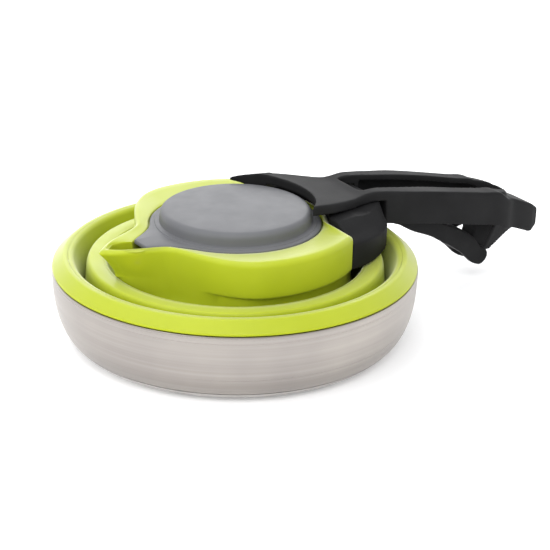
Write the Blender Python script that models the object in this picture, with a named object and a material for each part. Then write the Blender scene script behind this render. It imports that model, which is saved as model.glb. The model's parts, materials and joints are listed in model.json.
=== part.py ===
"""Collapsible kettle, folded flat: a steel base pot, a silicone body that turns its two folds
inside out to rise, a push-in lid, and a fixed arched handle with a grip lever under it.

The origin is the middle of the base on the table. The spout points along -X, the handle along +X.
"""

import math

import bmesh
import bpy
from mathutils import Vector, geometry

MM = 0.001

# Fits
CLEAR = 0.3 * MM          # gap between pieces that touch
OVERRUN = 4.0 * MM        # how far a cutter passes through what it cuts
TURN_STEPS = 40           # faces round each turned piece

# Base pot
POT_RADIUS = 92.5 * MM
SEAM_HEIGHT = 38.0 * MM   # table to the line where steel meets silicone
FLOOR_RADIUS = 72.6 * MM
POT_WALL = 0.8 * MM
WALL_FULLNESS = 2.64      # exponents of the bowl's superellipse
FLOOR_FULLNESS = 2.51
LIP_WIDTH = 4.9 * MM
LIP_CORNER = 0.5 * MM
BOWL_STEPS = 5

# Sandwich bottom
CAP_WALL = 0.7 * MM
CAP_HEIGHT = 5.5 * MM
SPREADER_THICKNESS = 2.0 * MM
SPREADER_MARGIN = 2.5 * MM
SPREADER_CHAMFER = 0.6 * MM

# Silicone body
CREST_RISE = 5.9 * MM     # collar crest above the seam
CREST_WIDTH = 2.6 * MM
CREST_ROUND = 0.7 * MM
COLLAR_SLOPE = 5.6 * MM   # width of the outer slope between seam and crest
SKIRT_DEPTH = 4.2 * MM    # collar below the seam, inside the pot
BEAD_WIDTH = 2.7 * MM     # collar's bead under the steel lip
BEAD_ROUND = 0.6 * MM
BAND_WALL = 0.6 * MM
BAND_HEIGHT = 5.5 * MM
FOLD_WALL = 1.7 * MM
FOLD_DROP = 0.7 * MM      # fold's hinge line below the crest beside it
HINGE_HEIGHT = 2.0 * MM   # thickened root at the bottom of a fold
LOWER_FOLD_DEPTH = 23.7 * MM
LOWER_FOLD_LEAN = 4.0 * MM
RING_RADIUS_SHARE = 0.83135
RING_RADIUS = POT_RADIUS * RING_RADIUS_SHARE
RING_LEAN = 1.3 * MM
RING_RISE = 3.7 * MM      # crest of the middle ring above the seam
RING_BAND_SHARE = 0.08216     # width of that crest
RING_BAND = POT_RADIUS * RING_BAND_SHARE
RING_ROUND = 1.5 * MM
RING_WALL = 1.8 * MM
UPPER_FOLD_DEPTH = 21.8 * MM
UPPER_FOLD_LEAN = 4.6 * MM
NECK_LEAN = 1.1 * MM
NECK_WALL = 1.8 * MM
NECK_TUCK = 2.2 * MM      # the neck stays this far inside the spout's foot
NECK_MID_SHARE = 0.30         # how far the neck has taken the spout's outline at half height

# Top section with spout
TOP_RADIUS_SHARE = 0.67027
TOP_RADIUS = POT_RADIUS * TOP_RADIUS_SHARE
TOP_RISE = 23.0 * MM      # highest edge above the seam
BRIM_DEPTH = 18.6 * MM    # height of the wide upper wall
BRIM_ROUND = 1.2 * MM
EDGE_ROUND = 2.8 * MM     # round-over at the top edge
LIP_SHARES = (0.75, 0.6)  # how far the spout's walls have leaned out, outside and inside
TOP_WALL = 2.4 * MM
TOP_PLATE = 2.6 * MM
TOP_DISH = 1.8 * MM       # the top falls this far towards the lid
SPOUT_REACH_SHARE = 0.82162
SPOUT_REACH = POT_RADIUS * SPOUT_REACH_SHARE
SPOUT_LEAN = 7.0 * MM      # the tip leans out this far over its foot
SPOUT_FOOT_REACH = SPOUT_REACH - SPOUT_LEAN
SPOUT_FLOOR_WALL = 5.0 * MM   # the spout's floor thickens towards the tip
SPOUT_FLOOR_REACH = SPOUT_FOOT_REACH - SPOUT_FLOOR_WALL
SPOUT_DROP = 3.5 * MM     # the lips fall this far towards the tip
SPOUT_NOSE = 2.4 * MM     # half width of the tip
PINCH_BACK_SHARE = 0.50270    # how far in front of the axis the valley beside the spout lies
PINCH_BACK = POT_RADIUS * PINCH_BACK_SHARE
PINCH_HALF_SHARE = 0.22162
PINCH_HALF = POT_RADIUS * PINCH_HALF_SHARE
SHOULDER_ANGLE = math.radians(104)
SPOUT_LIP = 3.2 * MM
SPOUT_MOUTH_BACK_SHARE = 0.44324
SPOUT_MOUTH_BACK = POT_RADIUS * SPOUT_MOUTH_BACK_SHARE
WEDGE_SHARE = 1.8             # how much faster the tip moves than the walls when shrunk
PINCH_SHARES = (0.35, 0.95)
ARC_STEPS = 7
SIDE_STEPS = 6

# Lid
LID_RADIUS_SHARE = 0.46703
LID_RADIUS = POT_RADIUS * LID_RADIUS_SHARE
LID_RECESS_GAP = 0.7 * MM
FLANGE_WALL = 2.1 * MM
FLANGE_STEP = 2.2 * MM    # width of the low step round the dome
FLANGE_STEP_RISE = 0.5 * MM
DOME_RADIUS_SHARE = 0.41405
DOME_RADIUS = POT_RADIUS * DOME_RADIUS_SHARE
DOME_RISE = 7.6 * MM      # above the flange
DOME_SHOULDER = 3.2 * MM
DOME_CROWN = 0.5 * MM
DOME_WALL = 2.0 * MM
TAB_REACH_SHARE = 0.60865
TAB_REACH = POT_RADIUS * TAB_REACH_SHARE
TAB_HALF = 5.8 * MM
TAB_BOW = 0.6 * MM
TAB_TURN = math.radians(5.5)  # the loose lid sits a little turned in its seat
TAB_ROOT_ANGLE = math.radians(150)
BORE_RADIUS_SHARE = 0.41730
BORE_RADIUS = POT_RADIUS * BORE_RADIUS_SHARE
SEAL_WIDTH = 1.5 * MM
SEAL_HEIGHT = 2.4 * MM
SEAL_ROUND = 0.5 * MM
PLUG_DEPTH = 5.0 * MM
PLUG_FLOOR = 1.6 * MM
PLUG_SKIRT = 1.8 * MM
MOUTH_RING_WIDTH = 3.6 * MM
MOUTH_RING_HEIGHT = 2.2 * MM
LID_SCREW_PITCH_SHARE = 0.23784
LID_SCREW_PITCH = POT_RADIUS * LID_SCREW_PITCH_SHARE
LID_SCREW_COUNT = 3
LID_BOSS_RADIUS = 3.4 * MM

# Handle bracket
SEAT_FRONT_SHARE = 0.41514    # where the silicone top is cut back for the bracket
SEAT_FRONT = POT_RADIUS * SEAT_FRONT_SHARE
SEAT_COLLAR_SHARE = 0.50270   # silicone left standing round the mouth there
SEAT_COLLAR = POT_RADIUS * SEAT_COLLAR_SHARE
BRACKET_REACH_SHARE = 0.82811
BRACKET_REACH = POT_RADIUS * BRACKET_REACH_SHARE
BRACKET_PLAN_SHARES = (       # along from the seat to the back, and half width
    (0, 1), (0.23, 0.955), (0.43, 0.885), (0.61, 0.785), (0.81, 0.645), (0.93, 0.49),
    (0.985, 0.27),
)
BRACKET_RIDGE = 18.0 * MM     # ridge above the seam, at the seat
BRACKET_RIDGE_FALL = 2.6 * MM
BRACKET_TOP_SHARES = (0.96, 0.52)
BRACKET_LIFT = 1.6 * MM       # its underside above the middle ring's crest

# Handle
HANDLE_REACH = 192.5 * MM     # from the axis to the end of the tail
DECK_HALF_SHARE = 0.31892
DECK_HALF = POT_RADIUS * DECK_HALF_SHARE
DECK_TOP = 33.6 * MM          # above the seam, at the front
DECK_WALL = 5.0 * MM
HANDLE_DEPTH = 17.6 * MM
# Along the handle, half width, top and depth, as shares of the four sizes above.
HANDLE_SHARES = (
    (0.135, 1.000, 1.000, 1.000), (0.190, 0.975, 0.967, 1.000), (0.234, 0.888, 0.932, 1.000),
    (0.286, 0.753, 0.887, 1.000), (0.322, 0.644, 0.868, 1.000), (0.353, 0.617, 0.884, 1.000),
    (0.379, 0.634, 0.896, 1.000), (0.416, 0.654, 0.875, 1.000), (0.480, 0.690, 0.820, 1.003),
    (0.545, 0.712, 0.765, 1.010), (0.610, 0.700, 0.696, 1.025), (0.675, 0.671, 0.622, 1.045),
    (0.753, 0.625, 0.524, 1.055), (0.810, 0.576, 0.449, 1.070), (0.848, 0.508, 0.306, 1.000),
    (0.882, 0.441, 0.250, 0.970), (0.935, 0.373, 0.122, 0.955), (0.966, 0.322, 0.045, 0.930),
    (0.992, 0.260, -0.050, 0.660), (1.000, 0.190, -0.080, 0.440),
)
HANDLE_WALL = 3.0 * MM
HANDLE_EDGE = 1.4 * MM
CRESCENT_RADIUS_SHARE = 0.43027  # deck's front edge, round the lid's dome
CRESCENT_RADIUS = POT_RADIUS * CRESCENT_RADIUS_SHARE
HORN_SHARES = (               # outer edge of the far horn: X and Y over DECK_HALF, thickness
    (1.25, 0.960, 1.00), (1.08, 1.005, 0.96), (0.90, 1.095, 0.74), (0.74, 1.190, 0.46),
    (0.60, 1.255, 0.24),
)
HORN_DROP = 2.4 * MM          # the horn's top falls this far towards its tip
RIM_END_REACH_SHARE = 0.87013  # rounded end of the raised rim round the slot
RIM_END_REACH = HANDLE_REACH * RIM_END_REACH_SHARE
RIM_END_RADIUS_SHARE = 0.54237
RIM_END_RADIUS = DECK_HALF * RIM_END_RADIUS_SHARE
RIM_END_TOP = 12.4 * MM
RIM_END_SLOPE_SHARE = 0.235
SLOT_SHARES = (               # the slot's half width over SLOT_HALF, along its length
    (0.000, 0.70), (0.025, 0.96), (0.060, 1.00), (0.560, 0.96), (0.670, 0.84), (0.780, 0.66),
    (0.890, 0.48), (0.970, 0.26), (1.000, 0.06),
)
SLOT_HALF_SHARE = 0.37288
SLOT_HALF = DECK_HALF * SLOT_HALF_SHARE
SLOT_FRONT_SHARE = 0.72973
SLOT_FRONT = POT_RADIUS * SLOT_FRONT_SHARE
SLOT_BACK_SHARE = 0.83377
SLOT_BACK = HANDLE_REACH * SLOT_BACK_SHARE
TAIL_BLOCK = 24.0 * MM        # solid end of the grip
EAR_BACK_SHARE = 0.87792
EAR_BACK = HANDLE_REACH * EAR_BACK_SHARE
EAR_FRONT_SHARE = 0.77922
EAR_FRONT = HANDLE_REACH * EAR_FRONT_SHARE
EAR_LOW = 15.6 * MM           # the ears' tips below the seam
EAR_TIP = 3.0 * MM
EAR_WALL = 2.8 * MM

# Grip lever
LEVER_INSET = 2.5 * MM        # its pin inside the pot's widest edge
LEVER_X = POT_RADIUS - LEVER_INSET
LEVER_Z = 13.4 * MM           # its pin above the seam
LEVER_HUB = 5.2 * MM
LEVER_END_SHARE = 0.78442     # middle of its rounded end, along the handle
LEVER_REACH = HANDLE_REACH * LEVER_END_SHARE - LEVER_X
LEVER_HALF_SHARE = 0.51525
LEVER_HALF = DECK_HALF * LEVER_HALF_SHARE
LEVER_KNOB = 5.4 * MM
LEVER_ARM = 4.2 * MM
# Along the lever, half width, top and underside, the last two over LEVER_REACH from the pin.
LEVER_SHARES = (
    (0.00, 1.00, 0.085, -0.085), (0.16, 0.98, 0.050, -0.180), (0.38, 0.93, -0.110, -0.277),
    (0.54, 0.82, -0.190, -0.375), (0.63, 0.74, -0.235, -0.425), (0.80, 0.66, -0.320, -0.545),
    (0.92, 0.62, -0.410, -0.655), (1.00, 0.60, -0.510, -0.692),
)
LEVER_WEB_SHARES = (0.60, 0.80)

# Fasteners
SCREW_RADIUS = 1.9 * MM
SCREW_HEAD = 3.6 * MM
SCREW_HEAD_HEIGHT = 2.0 * MM
SCREW_STEPS = 10
PIN_RADIUS = 2.0 * MM
PIN_SEAT = 1.8 * MM           # how deep the pin sits in each grip wall
BRACKET_SCREW_HALF = 13.0 * MM
BRACKET_SCREW_DROP = 11.8 * MM
BRACKET_SCREW_LENGTH = 13.0 * MM
BACKPLATE_WALL = 1.6 * MM
BACKPLATE_HEIGHT = 7.8 * MM
BACKPLATE_ANGLE = math.radians(27)
HANDLE_SCREW_X_SHARE = 0.60541
HANDLE_SCREW_X = POT_RADIUS * HANDLE_SCREW_X_SHARE
HANDLE_SCREW_HALF = 12.0 * MM
HANDLE_SCREW_LENGTH = 12.0 * MM
HANDLE_SCREW_SEAT = 3.2 * MM  # how far it reaches into the deck
LID_SCREW_RADIUS = 1.2 * MM
LID_SCREW_HEAD = 2.2 * MM
LID_SCREW_LENGTH = 5.5 * MM


def clear_scene():
    for thing in list(bpy.data.objects):
        bpy.data.objects.remove(thing, do_unlink=True)


def finish(name, colour, roughness, metallic):
    material = bpy.data.materials.new(name)
    material.use_nodes = True
    shader = material.node_tree.nodes["Principled BSDF"]
    shader.inputs["Base Color"].default_value = (*colour, 1)
    shader.inputs["Roughness"].default_value = roughness
    shader.inputs["Metallic"].default_value = metallic
    material.diffuse_color = (*colour, 1)
    return material


def new_object(name, mesh_builder, material=None, smooth=True):
    """Turns a finished bmesh into an object with outward faces."""
    bmesh.ops.remove_doubles(mesh_builder, verts=mesh_builder.verts, dist=CLEAR / 100)
    bmesh.ops.recalc_face_normals(mesh_builder, faces=mesh_builder.faces)
    mesh = bpy.data.meshes.new(name)
    mesh_builder.to_mesh(mesh)
    mesh_builder.free()
    if smooth:
        mesh.shade_smooth()
        mesh.set_sharp_from_angle(angle=math.radians(35))
    thing = bpy.data.objects.new(name, mesh)
    bpy.context.collection.objects.link(thing)
    if material:
        mesh.materials.append(material)
    return thing


def turned(name, outline, material=None, steps=TURN_STEPS):
    """Spins a closed outline of (radius, height) points about Z."""
    builder = bmesh.new()
    corners = [builder.verts.new((radius, 0, height)) for radius, height in outline]
    edges = [builder.edges.new((corners[i - 1], corners[i])) for i in range(len(corners))]
    axis_edges = [e for e in edges if all(abs(v.co.x) < CLEAR / 100 for v in e.verts)]
    for edge in axis_edges:
        builder.edges.remove(edge)
        edges.remove(edge)
    bmesh.ops.spin(
        builder, geom=corners + edges, cent=(0, 0, 0), axis=(0, 0, 1),
        angle=math.tau, steps=steps, use_merge=True, use_duplicate=False,
    )
    return new_object(name, builder, material)


def skinned(name, rings, material=None, closed=False, smooth=True):
    """Joins rings of as many points each; closed makes the last ring meet the first."""
    builder = bmesh.new()
    loops = [[builder.verts.new(point) for point in ring] for ring in rings]
    pairs = list(zip(loops, loops[1:]))
    if closed:
        pairs.append((loops[-1], loops[0]))
    else:
        builder.faces.new(loops[0])
        builder.faces.new(reversed(loops[-1]))
    for lower, upper in pairs:
        for i in range(len(lower)):
            builder.faces.new((lower[i - 1], lower[i], upper[i], upper[i - 1]))
    return new_object(name, builder, material, smooth)


def prism(name, outline, bottom, top, material=None):
    rings = [[(x, y, z) for x, y in outline] for z in (bottom, top)]
    return skinned(name, rings, material)


def side_prism(name, outline, near, far, material=None):
    """Extrudes an outline of (x, z) points from y = near to y = far."""
    rings = [[(x, y, z) for x, z in outline] for y in (near, far)]
    return skinned(name, rings, material)


def rod(name, radius, length, material=None, steps=SCREW_STEPS, twist=0.0):
    """A round bar from the origin up its own Z; twist turns its corners by a share of a step."""
    turns = [math.tau * (i + twist) / steps for i in range(steps)]
    outline = [(radius * math.cos(turn), radius * math.sin(turn)) for turn in turns]
    return prism(name, outline, 0, length, material)


def place(thing, location=(0, 0, 0), rotation=(0, 0, 0)):
    thing.location = location
    thing.rotation_euler = rotation
    return thing


def boolean(target, tool, operation="DIFFERENCE"):
    step = target.modifiers.new(tool.name, "BOOLEAN")
    step.operation = operation
    step.object = tool
    tool.hide_render = True
    tool.display_type = "WIRE"
    return target


def joint_empty(name, location, parent=None):
    empty = bpy.data.objects.new(name, None)
    bpy.context.collection.objects.link(empty)
    empty.location = location
    if parent:
        attach([empty], parent)
    return empty


def attach(things, empty):
    """Parents things to a joint's empty and leaves them where they are."""
    bpy.context.view_layer.update()
    for thing in things:
        thing.parent = empty
        thing.matrix_parent_inverse = empty.matrix_world.inverted()


def through(stations, x):
    """Smooth curve through (x, value) stations: Catmull-Rom slopes, flat past the ends."""
    if x <= stations[0][0]:
        return stations[0][1]
    if x >= stations[-1][0]:
        return stations[-1][1]
    i = max(k for k in range(len(stations) - 1) if stations[k][0] <= x)

    def slope(k):
        low = stations[max(k - 1, 0)]
        high = stations[min(k + 1, len(stations) - 1)]
        return (high[1] - low[1]) / (high[0] - low[0])

    (x0, y0), (x1, y1) = stations[i], stations[i + 1]
    span = x1 - x0
    t = (x - x0) / span
    return (
        (2 * t**3 - 3 * t**2 + 1) * y0
        + (t**3 - 2 * t**2 + t) * span * slope(i)
        + (3 * t**2 - 2 * t**3) * y1
        + (t**3 - t**2) * span * slope(i + 1)
    )


def bezier(start, start_handle, end_handle, end, steps):
    points = geometry.interpolate_bezier(
        Vector((*start, 0)), Vector((*start_handle, 0)),
        Vector((*end_handle, 0)), Vector((*end, 0)), steps + 1,
    )
    return [(p.x, p.y) for p in points]


def arc(radius, start, end, steps):
    angles = [start + (end - start) * i / steps for i in range(steps + 1)]
    return [(radius * math.cos(a), radius * math.sin(a)) for a in angles]


def mirrored(half):
    """Completes an outline given from the +X axis round to the -X axis on the +Y side."""
    return half + [(x, -y) for x, y in reversed(half[1:-1])]


def inset(outline, distance):
    """Moves each point of a counter-clockwise outline inwards, square to its neighbours."""
    moved = []
    count = len(outline)
    for i, (x, y) in enumerate(outline):
        ahead = Vector(outline[(i + 1) % count]) - Vector((x, y))
        behind = Vector((x, y)) - Vector(outline[i - 1])
        along = ahead.normalized() + behind.normalized()
        normal = Vector((-along.y, along.x)).normalized()
        spread = max(normal.dot(Vector((-ahead.y, ahead.x)).normalized()), 0.6)
        moved.append((x + normal.x * distance / spread, y + normal.y * distance / spread))
    return moved


def on_circle(outline, radius):
    """The points of a circle that lie in the same directions as an outline's points."""
    ring = []
    for x, y in outline:
        reach = math.hypot(x, y)
        ring.append((x * radius / reach, y * radius / reach))
    return ring


def between(first, second, share):
    return [
        (a[0] + (b[0] - a[0]) * share, a[1] + (b[1] - a[1]) * share)
        for a, b in zip(first, second)
    ]


def level(outline, height):
    return [(x, y, height) for x, y in outline]


# Base pot

def bowl(turn, depth=0.0):
    """Point of the pot's outer curve, or of a curve that lies depth inside it."""
    width = POT_RADIUS - FLOOR_RADIUS

    def raw(t):
        radius = FLOOR_RADIUS + width * math.cos(t) ** (2 / WALL_FULLNESS)
        height = SEAM_HEIGHT * (1 - math.sin(t) ** (2 / FLOOR_FULLNESS))
        return Vector((radius, height))

    nudge = 0.01
    here = raw(turn)
    along = raw(min(turn + nudge, math.pi / 2 - nudge)) - raw(max(turn - nudge, nudge))
    if turn < nudge:
        along = Vector((0, -1))
    normal = Vector((along.y, -along.x)).normalized()
    return here + normal * depth


def turn_at(height, depth=0.0):
    low, high = 0.0, math.pi / 2
    for _ in range(40):
        middle = (low + high) / 2
        if bowl(middle, depth).y > height:
            low = middle
        else:
            high = middle
    return low


def bowl_run(top, bottom, depth, steps):
    first = turn_at(top, depth)
    last = turn_at(bottom, depth)
    return [tuple(bowl(first + (last - first) * i / steps, depth)) for i in range(steps + 1)]


POT_FLOOR = CAP_WALL + SPREADER_THICKNESS + 2 * CLEAR
LIP_TOP = SEAM_HEIGHT - CLEAR / 2
LIP_BOTTOM = LIP_TOP - POT_WALL
LIP_RADIUS = POT_RADIUS - LIP_WIDTH
CAP_STEP = CAP_WALL + CLEAR


def base_pot(steel):
    outside = bowl_run(LIP_TOP - LIP_CORNER, CAP_HEIGHT, 0, BOWL_STEPS)
    outside += bowl_run(CAP_HEIGHT - CLEAR, POT_FLOOR, CAP_STEP, 2)
    inside = bowl_run(LIP_BOTTOM, CAP_HEIGHT, POT_WALL, BOWL_STEPS)
    inside += bowl_run(CAP_HEIGHT - CLEAR, POT_FLOOR + POT_WALL, CAP_STEP + POT_WALL, 2)
    outline = [(LIP_RADIUS, LIP_TOP), (POT_RADIUS - LIP_CORNER, LIP_TOP)] + outside
    outline += [(0, POT_FLOOR), (0, POT_FLOOR + POT_WALL)]
    outline += list(reversed(inside)) + [(LIP_RADIUS, LIP_BOTTOM)]
    return turned("base_pot", outline, steel)


def base_cap(steel):
    outside = bowl_run(CAP_HEIGHT - CLEAR, 0, 0, 3)
    inside = bowl_run(CAP_HEIGHT - CLEAR, CAP_WALL, CAP_WALL, 3)
    outline = outside + [(0, 0), (0, CAP_WALL)] + list(reversed(inside))
    return turned("base_cap", outline, steel)


def heat_spreader(aluminium):
    bottom = CAP_WALL + CLEAR
    top = bottom + SPREADER_THICKNESS
    radius = bowl(turn_at(bottom, CAP_STEP), CAP_STEP).x - SPREADER_MARGIN
    outline = [(0, bottom), (radius - SPREADER_CHAMFER, bottom), (radius, bottom + SPREADER_CHAMFER)]
    outline += [(radius, top), (0, top)]
    return turned("heat_spreader", outline, aluminium)


# Silicone body

CREST_TOP = SEAM_HEIGHT + CREST_RISE
CREST_INNER = POT_RADIUS - COLLAR_SLOPE - CREST_WIDTH
COLLAR_NECK = LIP_RADIUS - CLEAR
SKIRT_INNER = COLLAR_NECK - BEAD_WIDTH + CLEAR
SKIRT_BOTTOM = SEAM_HEIGHT - SKIRT_DEPTH
SHELF_HEIGHT = SKIRT_BOTTOM + BAND_HEIGHT + 2 * CLEAR
LOWER_HINGE_TOP = CREST_TOP - FOLD_DROP
LOWER_HINGE_BOTTOM = LOWER_HINGE_TOP - LOWER_FOLD_DEPTH
RING_TOP = SEAM_HEIGHT + RING_RISE
RING_CREST_OUTER = RING_RADIUS - RING_LEAN
RING_CREST_INNER = RING_CREST_OUTER - RING_BAND - RING_ROUND
UPPER_HINGE_TOP = RING_TOP - FOLD_DROP
UPPER_HINGE_BOTTOM = UPPER_HINGE_TOP - UPPER_FOLD_DEPTH


def base_collar(silicone):
    seam_edge = POT_RADIUS - CLEAR
    above_lip = LIP_TOP + CLEAR
    below_lip = LIP_BOTTOM - CLEAR
    outline = [
        (COLLAR_NECK, above_lip),
        (seam_edge, above_lip),
        (seam_edge - CREST_ROUND / 2, above_lip + CREST_ROUND),
        (POT_RADIUS - COLLAR_SLOPE, CREST_TOP - CREST_ROUND),
        (POT_RADIUS - COLLAR_SLOPE - CREST_ROUND, CREST_TOP - CREST_ROUND / 4),
        (POT_RADIUS - COLLAR_SLOPE - CREST_WIDTH / 2, CREST_TOP),
        (CREST_INNER + CREST_ROUND, CREST_TOP - CREST_ROUND / 3),
        (CREST_INNER, CREST_TOP - CREST_ROUND),
        (CREST_INNER, SHELF_HEIGHT),
        (SKIRT_INNER, SHELF_HEIGHT),
        (SKIRT_INNER, SKIRT_BOTTOM),
        (COLLAR_NECK + BEAD_WIDTH - BEAD_ROUND, SKIRT_BOTTOM),
        (COLLAR_NECK + BEAD_WIDTH, SKIRT_BOTTOM + BEAD_ROUND),
        (COLLAR_NECK + BEAD_WIDTH, below_lip - BEAD_ROUND),
        (COLLAR_NECK + BEAD_WIDTH - BEAD_ROUND, below_lip),
        (COLLAR_NECK, below_lip),
    ]
    return turned("base_collar", outline, silicone)


def rim_clamp_band(steel):
    outer = SKIRT_INNER - CLEAR
    bottom = SKIRT_BOTTOM + CLEAR
    outline = [
        (outer, bottom),
        (outer, bottom + BAND_HEIGHT),
        (outer - BAND_WALL, bottom + BAND_HEIGHT),
        (outer - BAND_WALL, bottom),
    ]
    return turned("rim_clamp_band", outline, steel)


def fold(name, crest_radius, hinge_radius, lean, top, bottom, silicone):
    """A fold hangs from the crest outside it and carries the piece inside it."""
    root = bottom + HINGE_HEIGHT
    outline = [
        (crest_radius, top),
        (crest_radius - lean / 4, (top + bottom) / 2),
        (hinge_radius + lean / 2 + FOLD_WALL / 2, root),
        (hinge_radius + FOLD_WALL * 0.8, bottom),
        (hinge_radius, bottom),
        (hinge_radius, root),
        (hinge_radius + lean / 2 - FOLD_WALL / 2, root + HINGE_HEIGHT),
        (crest_radius - lean / 4 - FOLD_WALL, (top + bottom) / 2),
        (crest_radius - FOLD_WALL, top),
    ]
    return turned(name, outline, silicone)


def lower_fold(silicone):
    return fold(
        "lower_fold", CREST_INNER - CLEAR, RING_RADIUS + CLEAR, LOWER_FOLD_LEAN,
        LOWER_HINGE_TOP, LOWER_HINGE_BOTTOM, silicone,
    )


def middle_ring(silicone):
    outer = RING_CREST_OUTER
    inner = RING_CREST_INNER
    outline = [
        (RING_RADIUS, LOWER_HINGE_BOTTOM),
        (outer, RING_TOP - 2 * RING_ROUND),
        (outer - RING_ROUND / 3, RING_TOP - RING_ROUND),
        (outer - RING_ROUND, RING_TOP - RING_ROUND / 3),
        ((outer + inner) / 2, RING_TOP),
        (inner + RING_ROUND, RING_TOP - RING_ROUND / 4),
        (inner, RING_TOP - RING_ROUND),
        (inner, RING_TOP - 2 * RING_ROUND),
        (inner + RING_WALL, RING_TOP - 2 * RING_ROUND),
        ((outer + inner) / 2, RING_TOP - RING_WALL),
        (outer - RING_WALL, RING_TOP - 2 * RING_ROUND),
        (RING_RADIUS - RING_WALL, LOWER_HINGE_BOTTOM),
    ]
    return turned("middle_ring", outline, silicone)


UPPER_FOLD_RADIUS = RING_CREST_INNER - CLEAR
NECK_RADIUS = UPPER_FOLD_RADIUS - UPPER_FOLD_LEAN - FOLD_WALL


def upper_fold(silicone):
    return fold(
        "upper_fold", UPPER_FOLD_RADIUS, NECK_RADIUS + CLEAR, UPPER_FOLD_LEAN,
        UPPER_HINGE_TOP, UPPER_HINGE_BOTTOM, silicone,
    )


# Top section

TOP_HEIGHT = SEAM_HEIGHT + TOP_RISE
MOUTH_HEIGHT = TOP_HEIGHT - TOP_DISH
BRIM_BOTTOM = TOP_HEIGHT - BRIM_DEPTH
RECESS_RADIUS = LID_RADIUS + LID_RECESS_GAP
RECESS_FLOOR = MOUTH_HEIGHT - FLANGE_WALL
PLATE_BOTTOM = RECESS_FLOOR - TOP_PLATE


def top_outline(spout_reach, shrink=0.0):
    """Plan of the top: round, drawn in beside the spout, and cut back for the bracket.

    shrink moves the whole outline inwards; the spout's tip moves further, as a wedge does.
    """
    radius = TOP_RADIUS - shrink
    front = SEAT_FRONT - shrink
    collar_radius = SEAT_COLLAR - shrink
    tip = shrink * WEDGE_SHARE - spout_reach
    corner = math.acos(front / radius)
    collar = math.acos(front / collar_radius)
    shoulder = (radius * math.cos(SHOULDER_ANGLE), radius * math.sin(SHOULDER_ANGLE))
    along = (-math.sin(SHOULDER_ANGLE), math.cos(SHOULDER_ANGLE))
    pinch = (shrink * PINCH_SHARES[0] - PINCH_BACK, PINCH_HALF - shrink * PINCH_SHARES[1])
    reach = TOP_RADIUS / 5
    half = arc(collar_radius, 0, collar, 5)
    half += [(front, (half[-1][1] + radius * math.sin(corner)) / 2)]
    half += arc(radius, corner, SHOULDER_ANGLE, ARC_STEPS)
    half += bezier(
        shoulder, (shoulder[0] + along[0] * reach * 1.3, shoulder[1] + along[1] * reach * 1.3),
        (pinch[0] + reach * 0.15, pinch[1] + reach * 0.95), pinch, SIDE_STEPS,
    )[1:]
    half += bezier(
        pinch, (pinch[0] - reach * 0.6, pinch[1] - reach * 0.36),
        (tip + reach * 0.65, SPOUT_NOSE + reach * 0.73 - shrink / 2),
        (tip + SPOUT_NOSE / 2, SPOUT_NOSE), SIDE_STEPS,
    )[1:]
    half += [(tip, 0)]
    return mirrored(half)


def lip_fall(x, amount):
    """How far the top edge falls at x, from the valleys to the spout's tip."""
    share = min(max((-x - PINCH_BACK * 0.8) / (SPOUT_REACH - PINCH_BACK * 0.8), 0), 1)
    return amount * share


def top_level(outline, height):
    return [(x, y, height - lip_fall(x, SPOUT_DROP)) for x, y in outline]


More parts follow.
